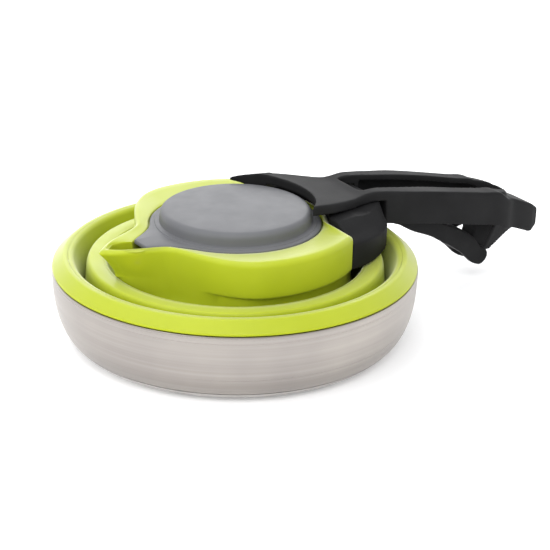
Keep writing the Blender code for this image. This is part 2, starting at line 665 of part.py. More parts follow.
def top_section(silicone):
    rim = top_outline(SPOUT_REACH)
    foot = top_outline(SPOUT_FOOT_REACH)

    def neck(inwards):
        circle = on_circle(rim, NECK_RADIUS - inwards)
        slim = on_circle(rim, NECK_RADIUS - NECK_LEAN - inwards)
        tucked = top_outline(SPOUT_FOOT_REACH, NECK_TUCK + inwards)
        top = [min(p, q, key=lambda c: math.hypot(*c)) if p[0] < 0 else q
               for p, q in zip(tucked, slim)]
        return circle, between(circle, top, NECK_MID_SHARE), top

    outer_neck = neck(0)
    inner_neck = neck(NECK_WALL)
    hinge = UPPER_HINGE_BOTTOM
    middle = (hinge + BRIM_BOTTOM) / 2
    shelf_floor = BRIM_BOTTOM - CLEAR
    wall_top = TOP_HEIGHT - EDGE_ROUND
    wall_foot = wall_top - EDGE_ROUND
    inner_rim = top_outline(SPOUT_REACH, TOP_WALL)
    inner_foot = top_outline(SPOUT_FLOOR_REACH, TOP_WALL)
    ceiling = shelf_floor - NECK_WALL
    nearest = [min(p, q, key=lambda c: math.hypot(*c))
               for p, q in zip(inner_foot, inner_neck[2])]
    rings = [
        level(outer_neck[0], hinge),
        level(outer_neck[1], middle),
        level(outer_neck[2], shelf_floor),
        level(top_outline(SPOUT_FOOT_REACH, BRIM_ROUND), BRIM_BOTTOM),
        level(foot, BRIM_BOTTOM + BRIM_ROUND),
        top_level(between(foot, rim, LIP_SHARES[0]), wall_foot),
        top_level(rim, wall_top),
        top_level(top_outline(SPOUT_REACH, EDGE_ROUND * 0.3), TOP_HEIGHT - EDGE_ROUND * 0.3),
        top_level(top_outline(SPOUT_REACH, EDGE_ROUND), TOP_HEIGHT),
        level(on_circle(rim, RECESS_RADIUS), MOUTH_HEIGHT),
        level(on_circle(rim, RECESS_RADIUS), RECESS_FLOOR),
        level(on_circle(rim, BORE_RADIUS), RECESS_FLOOR),
        level(on_circle(rim, BORE_RADIUS), PLATE_BOTTOM),
        top_level(between(inner_foot, inner_rim, LIP_SHARES[1]), PLATE_BOTTOM),
        level(inner_foot, BRIM_BOTTOM + TOP_WALL),
        level(nearest, ceiling),
        level(inner_neck[2], ceiling),
        level(inner_neck[1], middle),
        level(inner_neck[0], hinge),
    ]
    body = skinned("top_section", rings, silicone, closed=True)

    mouth_back = (-SPOUT_MOUTH_BACK, PINCH_HALF - SPOUT_LIP * 1.5)
    lip_line = top_outline(SPOUT_REACH, SPOUT_LIP)
    lips = [(x, y) for x, y in between(lip_line, lip_line[1:] + lip_line[:1], LIP_SHARES[0])
            if x < -PINCH_BACK and y > SPOUT_NOSE / 2]
    upper_half = [mouth_back] + sorted(lips, reverse=True)
    mouth = upper_half + [(x, -y) for x, y in reversed(upper_half)]
    opening = prism("spout_mouth_cutter", mouth, PLATE_BOTTOM - OVERRUN, TOP_HEIGHT + OVERRUN)
    boolean(body, opening)
    pocket = [(x, y) for x, y in lid_outline(LID_RECESS_GAP) if x < -LID_RADIUS * 0.86]
    boolean(body, prism("tab_pocket_cutter", turned_outline(pocket, TAB_TURN),
                        RECESS_FLOOR - CLEAR, TOP_HEIGHT + OVERRUN))
    for side in (-1, 1):
        hole = rod(f"top_screw_hole_{side}", SCREW_RADIUS + CLEAR, 3 * OVERRUN + TOP_WALL)
        place(hole, (SEAT_FRONT - OVERRUN, side * BRACKET_SCREW_HALF, BRACKET_SCREW_HEIGHT),
              (0, math.pi / 2, 0))
        boolean(body, hole)
    return body


def mouth_ring(nylon):
    top = PLATE_BOTTOM - 2 * CLEAR
    outline = [
        (BORE_RADIUS, top - MOUTH_RING_HEIGHT),
        (BORE_RADIUS + MOUTH_RING_WIDTH, top - MOUTH_RING_HEIGHT),
        (BORE_RADIUS + MOUTH_RING_WIDTH, top),
        (BORE_RADIUS, top),
    ]
    return turned("mouth_ring", outline, nylon)


# Lid

LID_FLOOR = RECESS_FLOOR + CLEAR
LID_FLANGE_TOP = LID_FLOOR + FLANGE_WALL
PLUG_TOP = LID_FLOOR - CLEAR
PLUG_BOTTOM = LID_FLOOR - PLUG_DEPTH
SEAL_RADIUS = BORE_RADIUS - CLEAR
PLUG_RADIUS = SEAL_RADIUS - SEAL_WIDTH - CLEAR


def lid_outline(grow=0.0):
    radius = LID_RADIUS + grow
    root = (radius * math.cos(TAB_ROOT_ANGLE), radius * math.sin(TAB_ROOT_ANGLE))
    along = (-math.sin(TAB_ROOT_ANGLE), math.cos(TAB_ROOT_ANGLE))
    reach = LID_RADIUS / 5
    tip = TAB_REACH + grow
    side = TAB_HALF + grow
    corner = (TAB_BOW - tip, side)
    half = arc(radius, 0, TAB_ROOT_ANGLE, 13)
    half += bezier(
        root, (root[0] + along[0] * reach, root[1] + along[1] * reach),
        (corner[0] + reach, corner[1] + reach * 0.65), corner, 6,
    )[1:]
    half += [(-tip, side / 2), (-tip, 0)]
    return mirrored(half)


def turned_outline(outline, angle):
    cosine = math.cos(angle)
    sine = math.sin(angle)
    return [(x * cosine - y * sine, x * sine + y * cosine) for x, y in outline]


def lid_cover(plastic):
    edge = turned_outline(lid_outline(), TAB_TURN)
    foot = LID_FLANGE_TOP
    step = foot + FLANGE_STEP_RISE
    top = foot + DOME_RISE
    shoulder = DOME_SHOULDER
    inner = DOME_RADIUS - DOME_WALL
    rings = [
        level(inset(edge, CLEAR), LID_FLOOR),
        level(edge, LID_FLOOR + CLEAR),
        level(edge, foot - CLEAR),
        level(inset(edge, CLEAR), foot),
        level(on_circle(edge, DOME_RADIUS + FLANGE_STEP), foot),
        level(on_circle(edge, DOME_RADIUS + FLANGE_STEP - FLANGE_STEP_RISE), step),
        level(on_circle(edge, DOME_RADIUS), step),
        level(on_circle(edge, DOME_RADIUS - shoulder * 0.1), top - DOME_CROWN - shoulder * 0.7),
        level(on_circle(edge, DOME_RADIUS - shoulder * 0.4), top - DOME_CROWN - shoulder * 0.25),
        level(on_circle(edge, DOME_RADIUS - shoulder), top - DOME_CROWN),
        level(on_circle(edge, DOME_RADIUS * 0.55), top - DOME_CROWN * 0.3),
        level(on_circle(edge, DOME_RADIUS * 0.12), top),
    ]
    hollow = [
        level(on_circle(edge, DOME_RADIUS * 0.12), top - DOME_WALL),
        level(on_circle(edge, inner - shoulder * 0.5), top - DOME_CROWN - DOME_WALL),
        level(on_circle(edge, inner), step),
        level(on_circle(edge, inner), LID_FLOOR),
    ]
    builder = bmesh.new()
    outside = [[builder.verts.new(p) for p in ring] for ring in rings]
    inside = [[builder.verts.new(p) for p in ring] for ring in hollow]
    builder.faces.new(outside[-1])
    builder.faces.new(inside[0])
    chain = inside + outside
    for lower, upper in zip(chain, chain[1:]):
        for i in range(len(lower)):
            builder.faces.new((lower[i - 1], lower[i], upper[i], upper[i - 1]))
    cover = new_object("lid_cover", builder, plastic)
    for number, (x, y) in enumerate(lid_screw_places()):
        boss = rod(f"lid_boss_{number}", LID_BOSS_RADIUS, DOME_RISE)
        place(boss, (x, y, LID_FLOOR + CLEAR))
        boolean(cover, boss, "UNION")
        depth = LID_SCREW_LENGTH + CLEAR + OVERRUN
        hole = rod(f"lid_pilot_{number}", LID_SCREW_RADIUS + CLEAR, depth, twist=0.5)
        place(hole, (x, y, PLUG_TOP - PLUG_FLOOR - OVERRUN))
        boolean(cover, hole)
    return cover


def lid_screw_places():
    turn = math.tau / LID_SCREW_COUNT
    return [
        (LID_SCREW_PITCH * math.cos(turn * i), LID_SCREW_PITCH * math.sin(turn * i))
        for i in range(LID_SCREW_COUNT)
    ]


def lid_plug(plastic):
    inner = PLUG_RADIUS - PLUG_SKIRT
    outline = [
        (0, PLUG_TOP - PLUG_FLOOR), (inner, PLUG_TOP - PLUG_FLOOR), (inner, PLUG_BOTTOM),
        (PLUG_RADIUS, PLUG_BOTTOM), (PLUG_RADIUS, PLUG_TOP), (0, PLUG_TOP),
    ]
    plug = turned("lid_plug", outline, plastic)
    for number, (x, y) in enumerate(lid_screw_places()):
        depth = PLUG_FLOOR + 2 * OVERRUN
        hole = rod(f"plug_hole_{number}", LID_SCREW_RADIUS + CLEAR, depth, twist=0.5)
        place(hole, (x, y, PLUG_TOP - PLUG_FLOOR - OVERRUN))
        boolean(plug, hole)
    return plug


def lid_seal(silicone):
    inner = PLUG_RADIUS + CLEAR
    top = PLUG_TOP - CLEAR
    bottom = top - SEAL_HEIGHT
    outline = [
        (inner, bottom), (SEAL_RADIUS - SEAL_ROUND, bottom),
        (SEAL_RADIUS - CLEAR, bottom + SEAL_ROUND), (SEAL_RADIUS - CLEAR, top - SEAL_ROUND),
        (SEAL_RADIUS - SEAL_ROUND, top), (inner, top),
    ]
    return turned("lid_seal", outline, silicone)


def lid_screw(number, x, y, steel):
    base = PLUG_TOP - PLUG_FLOOR - CLEAR
    outline = [
        (0, -LID_SCREW_HEAD / 2), (LID_SCREW_HEAD * 0.8, -LID_SCREW_HEAD / 2),
        (LID_SCREW_HEAD, -LID_SCREW_HEAD / 4), (LID_SCREW_HEAD, 0),
        (LID_SCREW_RADIUS, 0), (LID_SCREW_RADIUS, LID_SCREW_LENGTH), (0, LID_SCREW_LENGTH),
    ]
    return place(turned(f"lid_screw_{number}", outline, steel, SCREW_STEPS), (x, y, base))


# Handle bracket and what holds it

BRACKET_BOTTOM = RING_TOP + BRACKET_LIFT
BRACKET_SCREW_HEIGHT = MOUTH_HEIGHT - BRACKET_SCREW_DROP
HANDLE_STATIONS = [
    (along * HANDLE_REACH, half * DECK_HALF, top * DECK_TOP, depth * HANDLE_DEPTH)
    for along, half, top, depth in HANDLE_SHARES
]


def grip_half(x):
    return through([(row[0], row[1]) for row in HANDLE_STATIONS], x)


def grip_top(x):
    return SEAM_HEIGHT + through([(row[0], row[2]) for row in HANDLE_STATIONS], x)


def grip_bottom(x):
    return grip_top(x) - through([(row[0], row[3]) for row in HANDLE_STATIONS], x)


def deck_underside(x):
    return grip_top(x) - DECK_WALL


def bracket_rings():
    front = SEAT_FRONT + CLEAR
    wing = math.sqrt(TOP_RADIUS**2 - front**2)
    depth = BRACKET_REACH - front
    half = [(front + depth * along, wing * across) for along, across in BRACKET_PLAN_SHARES]
    half += [(BRACKET_REACH, 0)]
    outline = half + [(x, -y) for x, y in reversed(half[:-1])]
    low = SEAM_HEIGHT + BRACKET_RIDGE
    plateau = [(front + (x - front) * BRACKET_TOP_SHARES[0], y * BRACKET_TOP_SHARES[1])
               for x, y in outline]
    return [
        level(outline, BRACKET_BOTTOM),
        [(x, y, low - BRACKET_RIDGE_FALL * (x - front) / depth) for x, y in outline],
        level(plateau, deck_underside(BRACKET_REACH) + CLEAR),
    ]


def handle_bracket(nylon):
    bracket = skinned("handle_bracket", bracket_rings(), nylon)
    collar = rod("bracket_collar_cutter", SEAT_COLLAR + CLEAR, TOP_HEIGHT, steps=TURN_STEPS)
    boolean(bracket, place(collar, (0, 0, BRACKET_BOTTOM - OVERRUN)))
    seat = [SEAT_FRONT - OVERRUN + (BRACKET_REACH + 2 * OVERRUN - SEAT_FRONT) * i / 12
            for i in range(13)]
    above = [(x, deck_underside(x) - CLEAR) for x in seat]
    above += [(seat[-1], TOP_HEIGHT + DECK_TOP), (seat[0], TOP_HEIGHT + DECK_TOP)]
    boolean(bracket, side_prism("deck_seat_cutter", above, -TOP_RADIUS, TOP_RADIUS))
    for side in (-1, 1):
        tip = bracket_screw_seat() + BRACKET_SCREW_LENGTH + CLEAR
        hole = rod(f"bracket_screw_hole_{side}", SCREW_RADIUS + CLEAR, tip - SEAT_FRONT)
        start = (SEAT_FRONT, side * BRACKET_SCREW_HALF, BRACKET_SCREW_HEIGHT)
        boolean(bracket, place(hole, start, (0, math.pi / 2, 0)))
        through_hole = rod(f"handle_screw_hole_{side}", SCREW_RADIUS + CLEAR, TOP_HEIGHT)
        spot = (HANDLE_SCREW_X, side * HANDLE_SCREW_HALF)
        boolean(bracket, place(through_hole, (*spot, BRACKET_BOTTOM - OVERRUN)))
        depth = handle_screw_head() - BRACKET_BOTTOM + SCREW_HEAD_HEIGHT + OVERRUN
        counterbore = rod(f"handle_screw_bore_{side}", SCREW_HEAD + CLEAR, depth, twist=0.5)
        boolean(bracket, place(counterbore, (*spot, BRACKET_BOTTOM - OVERRUN)))
    return bracket


def handle_screw_head():
    """Height of the underside of a handle screw's head."""
    tip = deck_underside(HANDLE_SCREW_X) + HANDLE_SCREW_SEAT
    return tip - HANDLE_SCREW_LENGTH - SCREW_HEAD_HEIGHT


def screw(name, length, steel):
    """Pan-head screw whose head starts at the origin and whose shank runs up Z."""
    outline = [
        (0, 0), (SCREW_HEAD * 0.8, 0), (SCREW_HEAD, SCREW_HEAD_HEIGHT / 2),
        (SCREW_HEAD, SCREW_HEAD_HEIGHT), (SCREW_RADIUS, SCREW_HEAD_HEIGHT),
        (SCREW_RADIUS, SCREW_HEAD_HEIGHT + length), (0, SCREW_HEAD_HEIGHT + length),
    ]
    return turned(name, outline, steel, SCREW_STEPS)


BACKPLATE_OUTER = SEAT_COLLAR - TOP_WALL - 2 * CLEAR


def bracket_backplate(steel):
    outside = arc(BACKPLATE_OUTER, -BACKPLATE_ANGLE, BACKPLATE_ANGLE, 10)
    inside = arc(BACKPLATE_OUTER - BACKPLATE_WALL, BACKPLATE_ANGLE, -BACKPLATE_ANGLE, 10)
    bottom = BRACKET_SCREW_HEIGHT - BACKPLATE_HEIGHT / 2
    plate = prism("bracket_backplate", outside + inside, bottom, bottom + BACKPLATE_HEIGHT, steel)
    for side in (-1, 1):
        hole = rod(f"backplate_hole_{side}", SCREW_RADIUS + CLEAR, BACKPLATE_OUTER)
        spot = (BACKPLATE_OUTER / 2, side * BRACKET_SCREW_HALF, BRACKET_SCREW_HEIGHT)
        boolean(plate, place(hole, spot, (0, math.pi / 2, 0)))
    return plate


def bracket_screw_seat():
    """How far from the axis a bracket screw's head meets the backplate."""
    reach = BACKPLATE_OUTER - BACKPLATE_WALL
    return math.sqrt(reach**2 - (BRACKET_SCREW_HALF + SCREW_HEAD) ** 2) - CLEAR


def bracket_screw(number, side, steel):
    piece = screw(f"bracket_screw_{number}", BRACKET_SCREW_LENGTH, steel)
    seat = bracket_screw_seat() - SCREW_HEAD_HEIGHT
    spot = (seat, side * BRACKET_SCREW_HALF, BRACKET_SCREW_HEIGHT)
    return place(piece, spot, (0, math.pi / 2, 0))


def handle_screw(number, side, steel):
    piece = screw(f"handle_screw_{number}", HANDLE_SCREW_LENGTH, steel)
    return place(piece, (HANDLE_SCREW_X, side * HANDLE_SCREW_HALF, handle_screw_head()))


# Handle

def grip_section(x, half, top, bottom, edge):
    return [
        (x, -half, bottom), (x, half, bottom), (x, half, top - edge),
        (x, half - edge, top), (x, edge - half, top), (x, -half, top - edge),
    ]


def horn():
    """Far horn of the deck: a sliver that follows the lid's dome."""
    rings = []
    last = len(HORN_SHARES) - 1
    for i, (along, across, thickness) in enumerate(HORN_SHARES):
        x = along * DECK_HALF
        y = across * DECK_HALF
        reach = math.hypot(x, y)
        inner = (CRESCENT_RADIUS - OVERRUN) / reach
        top = SEAM_HEIGHT + DECK_TOP - HORN_DROP * (i / last) ** 2 - CLEAR
        bottom = top - DECK_WALL * thickness
        rings.append([(x * inner, y * inner, bottom), (x, y, bottom),
                      (x, y, top - CLEAR), (x * inner, y * inner, top)])
    return skinned("horn", rings)


def rim_end():
    """Raised rounded end of the rim, behind the slot."""
    middle = RIM_END_REACH - RIM_END_RADIUS
    outline = [(middle + x, y) for x, y in arc(RIM_END_RADIUS, -math.pi / 2, math.pi / 2, 12)]
    low = SEAM_HEIGHT
    crown = [(x, y, low + RIM_END_TOP + (RIM_END_REACH - x) * RIM_END_SLOPE_SHARE)
             for x, y in outline]
    inner = [(middle + (x - middle) * 0.94, y * 0.94, z) for x, y, z in crown]
    shoulder = [(x, y, z - HANDLE_EDGE) for x, y, z in crown]
    return skinned("rim_end", [level(outline, low), shoulder, inner])


def ear(side):
    """Pointed lug below each grip wall, beside the lever's end."""
    outline = [
        (EAR_FRONT - EAR_TIP, SEAM_HEIGHT - EAR_LOW), (EAR_FRONT, SEAM_HEIGHT - EAR_LOW),
        (EAR_BACK, grip_bottom(EAR_BACK) + CLEAR), (EAR_BACK - EAR_TIP, SEAM_HEIGHT),
        (EAR_FRONT + 2 * EAR_TIP, SEAM_HEIGHT), (EAR_FRONT + EAR_TIP, grip_bottom(EAR_FRONT)),
    ]
    outer = grip_half(EAR_FRONT) - CLEAR
    near, far = sorted((side * (outer - EAR_WALL), side * outer))
    return side_prism(f"ear_{side}", outline, near, far)


def handle(nylon):
    rows = [row[0] for row in HANDLE_STATIONS]
    places = sorted(rows + [(a + b) / 2 for a, b in zip(rows[:-4], rows[1:])])
    shell = skinned("handle", [
        grip_section(x, grip_half(x), grip_top(x), grip_bottom(x), HANDLE_EDGE) for x in places
    ], nylon)
    boolean(shell, rim_end(), "UNION")

    back = HANDLE_REACH - TAIL_BLOCK
    front = BRACKET_REACH + HANDLE_WALL
    cavity = skinned("grip_cavity_cutter", [
        grip_section(x, grip_half(x) - HANDLE_WALL, grip_top(x) - HANDLE_WALL,
                     grip_bottom(x) - OVERRUN, HANDLE_EDGE)
        for x in [front + (back - front) * i / 14 for i in range(15)]
    ])
    boolean(shell, cavity)
    for side in (-1, 1):
        boolean(shell, ear(side), "UNION")

    deck_back = BRACKET_REACH + CLEAR
    below = grip_bottom(deck_back) - OVERRUN
    reach = [deck_back * i / 24 for i in range(7, 25)]
    space = [(x, deck_underside(x)) for x in reach] + [(deck_back, below), (reach[0], below)]
    width = DECK_HALF + OVERRUN
    boolean(shell, side_prism("under_deck_cutter", space, -width, width))
    boolean(shell, horn(), "UNION")

    length = SLOT_BACK - SLOT_FRONT
    half = [(SLOT_FRONT + length * along, SLOT_HALF * across) for along, across in SLOT_SHARES]
    slot = half + [(x, -y) for x, y in reversed(half)]
    boolean(shell, prism("slot_cutter", slot, SEAM_HEIGHT, SEAM_HEIGHT + DECK_TOP + OVERRUN))

    crescent = rod("crescent_cutter", CRESCENT_RADIUS, DECK_TOP + 2 * OVERRUN, steps=TURN_STEPS)
    boolean(shell, place(crescent, (0, 0, SEAM_HEIGHT)))

    for side in (-1, 1):
        pilot = rod(f"deck_pilot_{side}", SCREW_RADIUS + CLEAR, 2 * OVERRUN)
        spot = (HANDLE_SCREW_X, side * HANDLE_SCREW_HALF)
        top = deck_underside(HANDLE_SCREW_X) + HANDLE_SCREW_SEAT + CLEAR
        boolean(shell, place(pilot, (*spot, top - 2 * OVERRUN)))
    bore = rod("pin_seat_cutter", PIN_RADIUS + CLEAR, 2 * pin_half() + 2 * CLEAR)
    spot = (LEVER_X, -pin_half() - CLEAR, SEAM_HEIGHT + LEVER_Z)
    boolean(shell, place(bore, spot, (-math.pi / 2, 0, 0)))
    return shell


# Grip lever

def pin_half():
    return grip_half(LEVER_X) - HANDLE_WALL + PIN_SEAT


def grip_lever(nylon):
    hub_z = SEAM_HEIGHT + LEVER_Z
    rows = [(LEVER_X + along * LEVER_REACH, half * LEVER_HALF,
             hub_z + top * LEVER_REACH, hub_z + low * LEVER_REACH)
            for along, half, top, low in LEVER_SHARES]

    def section(x, half, top, low):
        edge = min((top - low) / 5, HANDLE_EDGE)
        return [(x, edge - half, low), (x, half - edge, low), (x, half, low + edge),
                (x, half, top - edge), (x, half - edge, top), (x, edge - half, top),
                (x, -half, top - edge), (x, -half, low + edge)]

    rings = []
    for i in range(5):
        turn = math.pi * (1 - i / 10)
        reach = max(LEVER_HUB * math.sin(turn), CLEAR)
        x = LEVER_X + LEVER_HUB * math.cos(turn)
        rings.append(section(x, rows[0][1], hub_z + reach, hub_z - reach))
    rings += [section(*row) for row in rows]
    end_x, end_half, end_top, end_low = rows[-1]
    for i in range(1, 5):
        turn = math.pi / 2 * (1 - i / 4)
        reach = max((end_top - end_low) / 2 * math.sin(turn), CLEAR)
        middle = (end_top + end_low) / 2
        x = end_x + LEVER_KNOB * math.cos(turn)
        rings.append(section(x, end_half, middle + reach, middle - reach))
    lever = skinned("grip_lever", rings, nylon)

    low = end_low - OVERRUN
    high = hub_z + LEVER_HUB + OVERRUN
    web_front = LEVER_X + LEVER_WEB_SHARES[0] * LEVER_REACH
    web_back = LEVER_X + LEVER_WEB_SHARES[1] * LEVER_REACH
    halves = [(row[0], row[1] - LEVER_ARM) for row in rows]

    def gap(name, start, end):
        places = [start + (end - start) * i / 4 for i in range(5)]
        half = [(x, through(halves, x)) for x in places]
        outline = half + [(x, -y) for x, y in reversed(half)]
        boolean(lever, prism(name, outline, low, high))

    gap("lever_window_cutter", LEVER_X - LEVER_HUB - OVERRUN, web_front)
    gap("lever_tail_cutter", web_back, end_x + LEVER_KNOB + OVERRUN)
    bore = rod("lever_bore_cutter", PIN_RADIUS + CLEAR, 2 * LEVER_HALF + 2 * OVERRUN)
    boolean(lever, place(bore, (LEVER_X, -LEVER_HALF - OVERRUN, hub_z), (-math.pi / 2, 0, 0)))
    return lever


def lever_pin(steel):
    pin = rod("lever_pin", PIN_RADIUS, 2 * pin_half(), steel)
    return place(pin, (LEVER_X, -pin_half(), SEAM_HEIGHT + LEVER_Z), (-math.pi / 2, 0, 0))


def main():
    clear_scene()
    steel = finish("brushed_steel", (0.62, 0.60, 0.57), 0.32, 1.0)
    aluminium = finish("aluminium", (0.70, 0.71, 0.72), 0.45, 1.0)
    bright_steel = finish("bright_steel", (0.70, 0.70, 0.70), 0.25, 1.0)
    lime = finish("lime_silicone", (0.55, 0.74, 0.05), 0.45, 0.0)
    grey = finish("grey_plastic", (0.22, 0.23, 0.25), 0.5, 0.0)
    seal = finish("clear_silicone", (0.62, 0.63, 0.60), 0.4, 0.0)
    black = finish("black_nylon", (0.035, 0.036, 0.04), 0.5, 0.0)

    base_pot(steel)
    base_cap(steel)
    heat_spreader(aluminium)
    base_collar(lime)
    rim_clamp_band(bright_steel)
    lower_fold(lime)

    ring_slide = joint_empty("ring_slide", (0, 0, LOWER_HINGE_BOTTOM))
    attach([middle_ring(lime), upper_fold(lime)], ring_slide)

    top_slide = joint_empty("top_slide", (0, 0, UPPER_HINGE_BOTTOM), ring_slide)
    top_pieces = [
        top_section(lime), mouth_ring(black), handle_bracket(black),
        bracket_backplate(bright_steel), handle(black), lever_pin(bright_steel),
    ]
    for number, side in enumerate((-1, 1), start=1):
        top_pieces.append(bracket_screw(number, side, bright_steel))
        top_pieces.append(handle_screw(number, side, bright_steel))
    attach(top_pieces, top_slide)

    lid_pivot = joint_empty("lid_pivot", (LID_RADIUS, 0, LID_FLOOR + FLANGE_WALL / 2), top_slide)
    lid_pieces = [lid_cover(grey), lid_plug(grey), lid_seal(seal)]
    for number, (x, y) in enumerate(lid_screw_places(), start=1):
        lid_pieces.append(lid_screw(number, x, y, bright_steel))
    attach(lid_pieces, lid_pivot)

    lever_pivot = joint_empty("lever_pivot", (LEVER_X, 0, SEAM_HEIGHT + LEVER_Z), top_slide)
    attach([grip_lever(black)], lever_pivot)


main()
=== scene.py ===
import json
import math

import bpy
from mathutils import Matrix, Vector

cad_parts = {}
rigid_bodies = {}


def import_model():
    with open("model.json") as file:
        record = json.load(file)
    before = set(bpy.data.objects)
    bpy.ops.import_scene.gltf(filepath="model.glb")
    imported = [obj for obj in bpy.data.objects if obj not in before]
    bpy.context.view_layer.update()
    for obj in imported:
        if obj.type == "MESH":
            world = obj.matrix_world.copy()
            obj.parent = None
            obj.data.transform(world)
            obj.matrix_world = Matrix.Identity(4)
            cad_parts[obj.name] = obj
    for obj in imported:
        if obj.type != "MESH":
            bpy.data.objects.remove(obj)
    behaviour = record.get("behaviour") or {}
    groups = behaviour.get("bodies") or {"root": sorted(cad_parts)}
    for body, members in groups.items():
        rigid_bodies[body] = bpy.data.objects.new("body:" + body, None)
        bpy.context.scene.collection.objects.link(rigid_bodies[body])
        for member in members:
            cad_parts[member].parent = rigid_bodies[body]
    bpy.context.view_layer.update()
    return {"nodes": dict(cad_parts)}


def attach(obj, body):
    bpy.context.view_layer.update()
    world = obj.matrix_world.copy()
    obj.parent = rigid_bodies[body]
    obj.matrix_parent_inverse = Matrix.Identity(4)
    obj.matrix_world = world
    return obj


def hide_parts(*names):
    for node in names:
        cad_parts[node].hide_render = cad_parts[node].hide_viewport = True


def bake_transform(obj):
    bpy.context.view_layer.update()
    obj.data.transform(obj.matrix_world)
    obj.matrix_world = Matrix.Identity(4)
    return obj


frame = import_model()
nodes = frame["nodes"]
print("frame: loaded")


# Camera, lights and the room

cameraSetup = {
    "place": (-0.3404, -0.6057, 0.3213),
    "look": (0.475, 0.7905, -0.3867),
    "lean": 1.07,       # degrees
    "lens": 96.68,
    "sensor": 36,
    "nearest": 0.01,
}


def addCamera(setup):
    look = Vector(setup["look"]).normalized()
    level = look.cross(Vector((0, 0, 1))).normalized()
    lean = math.radians(setup["lean"])
    right = level * math.cos(lean) + level.cross(look) * math.sin(lean)
    bpy.ops.object.camera_add(location=setup["place"])
    camera = bpy.context.object
    camera.rotation_euler = Matrix((right, right.cross(look), -look)).transposed().to_euler()
    camera.data.lens = setup["lens"]
    camera.data.sensor_width = setup["sensor"]
    camera.data.clip_start = setup["nearest"]
    bpy.context.scene.camera = camera


lightSetup = [
    {"name": "topSoftbox", "place": (-0.25, 0.35, 1.25), "aim": (0, 0, 0.03),
     "size": (1.1, 0.9), "power": 7.3},
    {"name": "leftSoftbox", "place": (-1.15, -0.25, 0.75), "aim": (0, 0, 0.03),
     "size": (0.9, 0.7), "power": 5.5},
    {"name": "frontFill", "place": (-0.45, -1.0, 1.25), "aim": (0, 0, 0.03),
     "size": (0.8, 0.6), "power": 8.5},
    {"name": "backGlow", "place": (0.55, 1.15, 0.55), "aim": (0, 0, 0.04),
     "size": (1.3, 0.6), "power": 7.0},
]


def addLights(setups):
    for setup in setups:
        bpy.ops.object.light_add(type="AREA", location=setup["place"])
        light = bpy.context.object
        light.name = setup["name"]
        light.data.shape = "RECTANGLE"
        light.data.size = setup["size"][0]
        light.data.size_y = setup["size"][1]
        light.data.energy = setup["power"]
        away = Vector(setup["place"]) - Vector(setup["aim"])
        light.rotation_euler = away.to_track_quat("Z", "Y").to_euler()


roomSetup = {"sides": (1.0, 1.0, 1.0), "overhead": (0.82, 0.83, 0.85), "overheadFrom": 0.75}


def paintRoom(setup):
    world = bpy.data.worlds.new("softStudio")
    world.use_nodes = True
    bpy.context.scene.world = world
    tree = world.node_tree
    where = tree.nodes.new("ShaderNodeTexCoord")
    split = tree.nodes.new("ShaderNodeSeparateXYZ")
    ramp = tree.nodes.new("ShaderNodeValToRGB")
    ramp.color_ramp.elements[0].position = 0.0
    ramp.color_ramp.elements[0].color = (*setup["sides"], 1)
    ramp.color_ramp.elements[1].position = setup["overheadFrom"]
    ramp.color_ramp.elements[1].color = (*setup["overhead"], 1)
    tree.links.new(where.outputs["Generated"], split.inputs[0])
    tree.links.new(split.outputs["Z"], ramp.inputs[0])
    tree.links.new(ramp.outputs[0], tree.nodes["Background"].inputs["Color"])
    tree.nodes["Background"].inputs["Strength"].default_value = 1.0


bpy.context.scene.view_settings.view_transform = "Standard"
addCamera(cameraSetup)
addLights(lightSetup)
paintRoom(roomSetup)
print("camera and lights: set")


# Finishes

def newFinish(name, metallic=0.0):
    material = bpy.data.materials.new(name)
    material.use_nodes = True
    shader = material.node_tree.nodes["Principled BSDF"]
    shader.inputs["Metallic"].default_value = metallic
    return material, material.node_tree, shader


def setSockets(shader, values):
    for socket, value in values.items():
        shader.inputs[socket].default_value = value


def speckle(tree, scale, detail=3.0, stretch=(1, 1, 1)):
    where = tree.nodes.new("ShaderNodeTexCoord")
    shape = tree.nodes.new("ShaderNodeMapping")
    shape.inputs["Scale"].default_value = stretch
    noise = tree.nodes.new("ShaderNodeTexNoise")
    noise.inputs["Scale"].default_value = scale
    noise.inputs["Detail"].default_value = detail
    tree.links.new(where.outputs["Object"], shape.inputs["Vector"])
    tree.links.new(shape.outputs["Vector"], noise.inputs["Vector"])
    return noise.outputs["Fac"]


def blendColours(tree, factor, low, high, start=0.3, end=0.7):
    ramp = tree.nodes.new("ShaderNodeValToRGB")
    ramp.color_ramp.elements[0].position = start
    ramp.color_ramp.elements[0].color = (*low, 1)
    ramp.color_ramp.elements[1].position = end
    ramp.color_ramp.elements[1].color = (*high, 1)
    tree.links.new(factor, ramp.inputs[0])
    return ramp.outputs[0]


def spread(tree, factor, low, high, start=0.3, end=0.7):
    fit = tree.nodes.new("ShaderNodeMapRange")
    fit.inputs["From Min"].default_value = start
    fit.inputs["From Max"].default_value = end
    fit.inputs["To Min"].default_value = low
    fit.inputs["To Max"].default_value = high
    tree.links.new(factor, fit.inputs["Value"])
    return fit.outputs[0]


def colourBy(tree, shader, factor, low, high):
    tree.links.new(blendColours(tree, factor, low, high), shader.inputs["Base Color"])


def roughnessBy(tree, shader, factor, low, high):
    tree.links.new(spread(tree, factor, low, high), shader.inputs["Roughness"])


def grain(tree, shader, factor, strength, distance):
    bump = tree.nodes.new("ShaderNodeBump")
    bump.inputs["Strength"].default_value = strength
    bump.inputs["Distance"].default_value = distance
    tree.links.new(factor, bump.inputs["Height"])
    tree.links.new(bump.outputs[0], shader.inputs["Normal"])


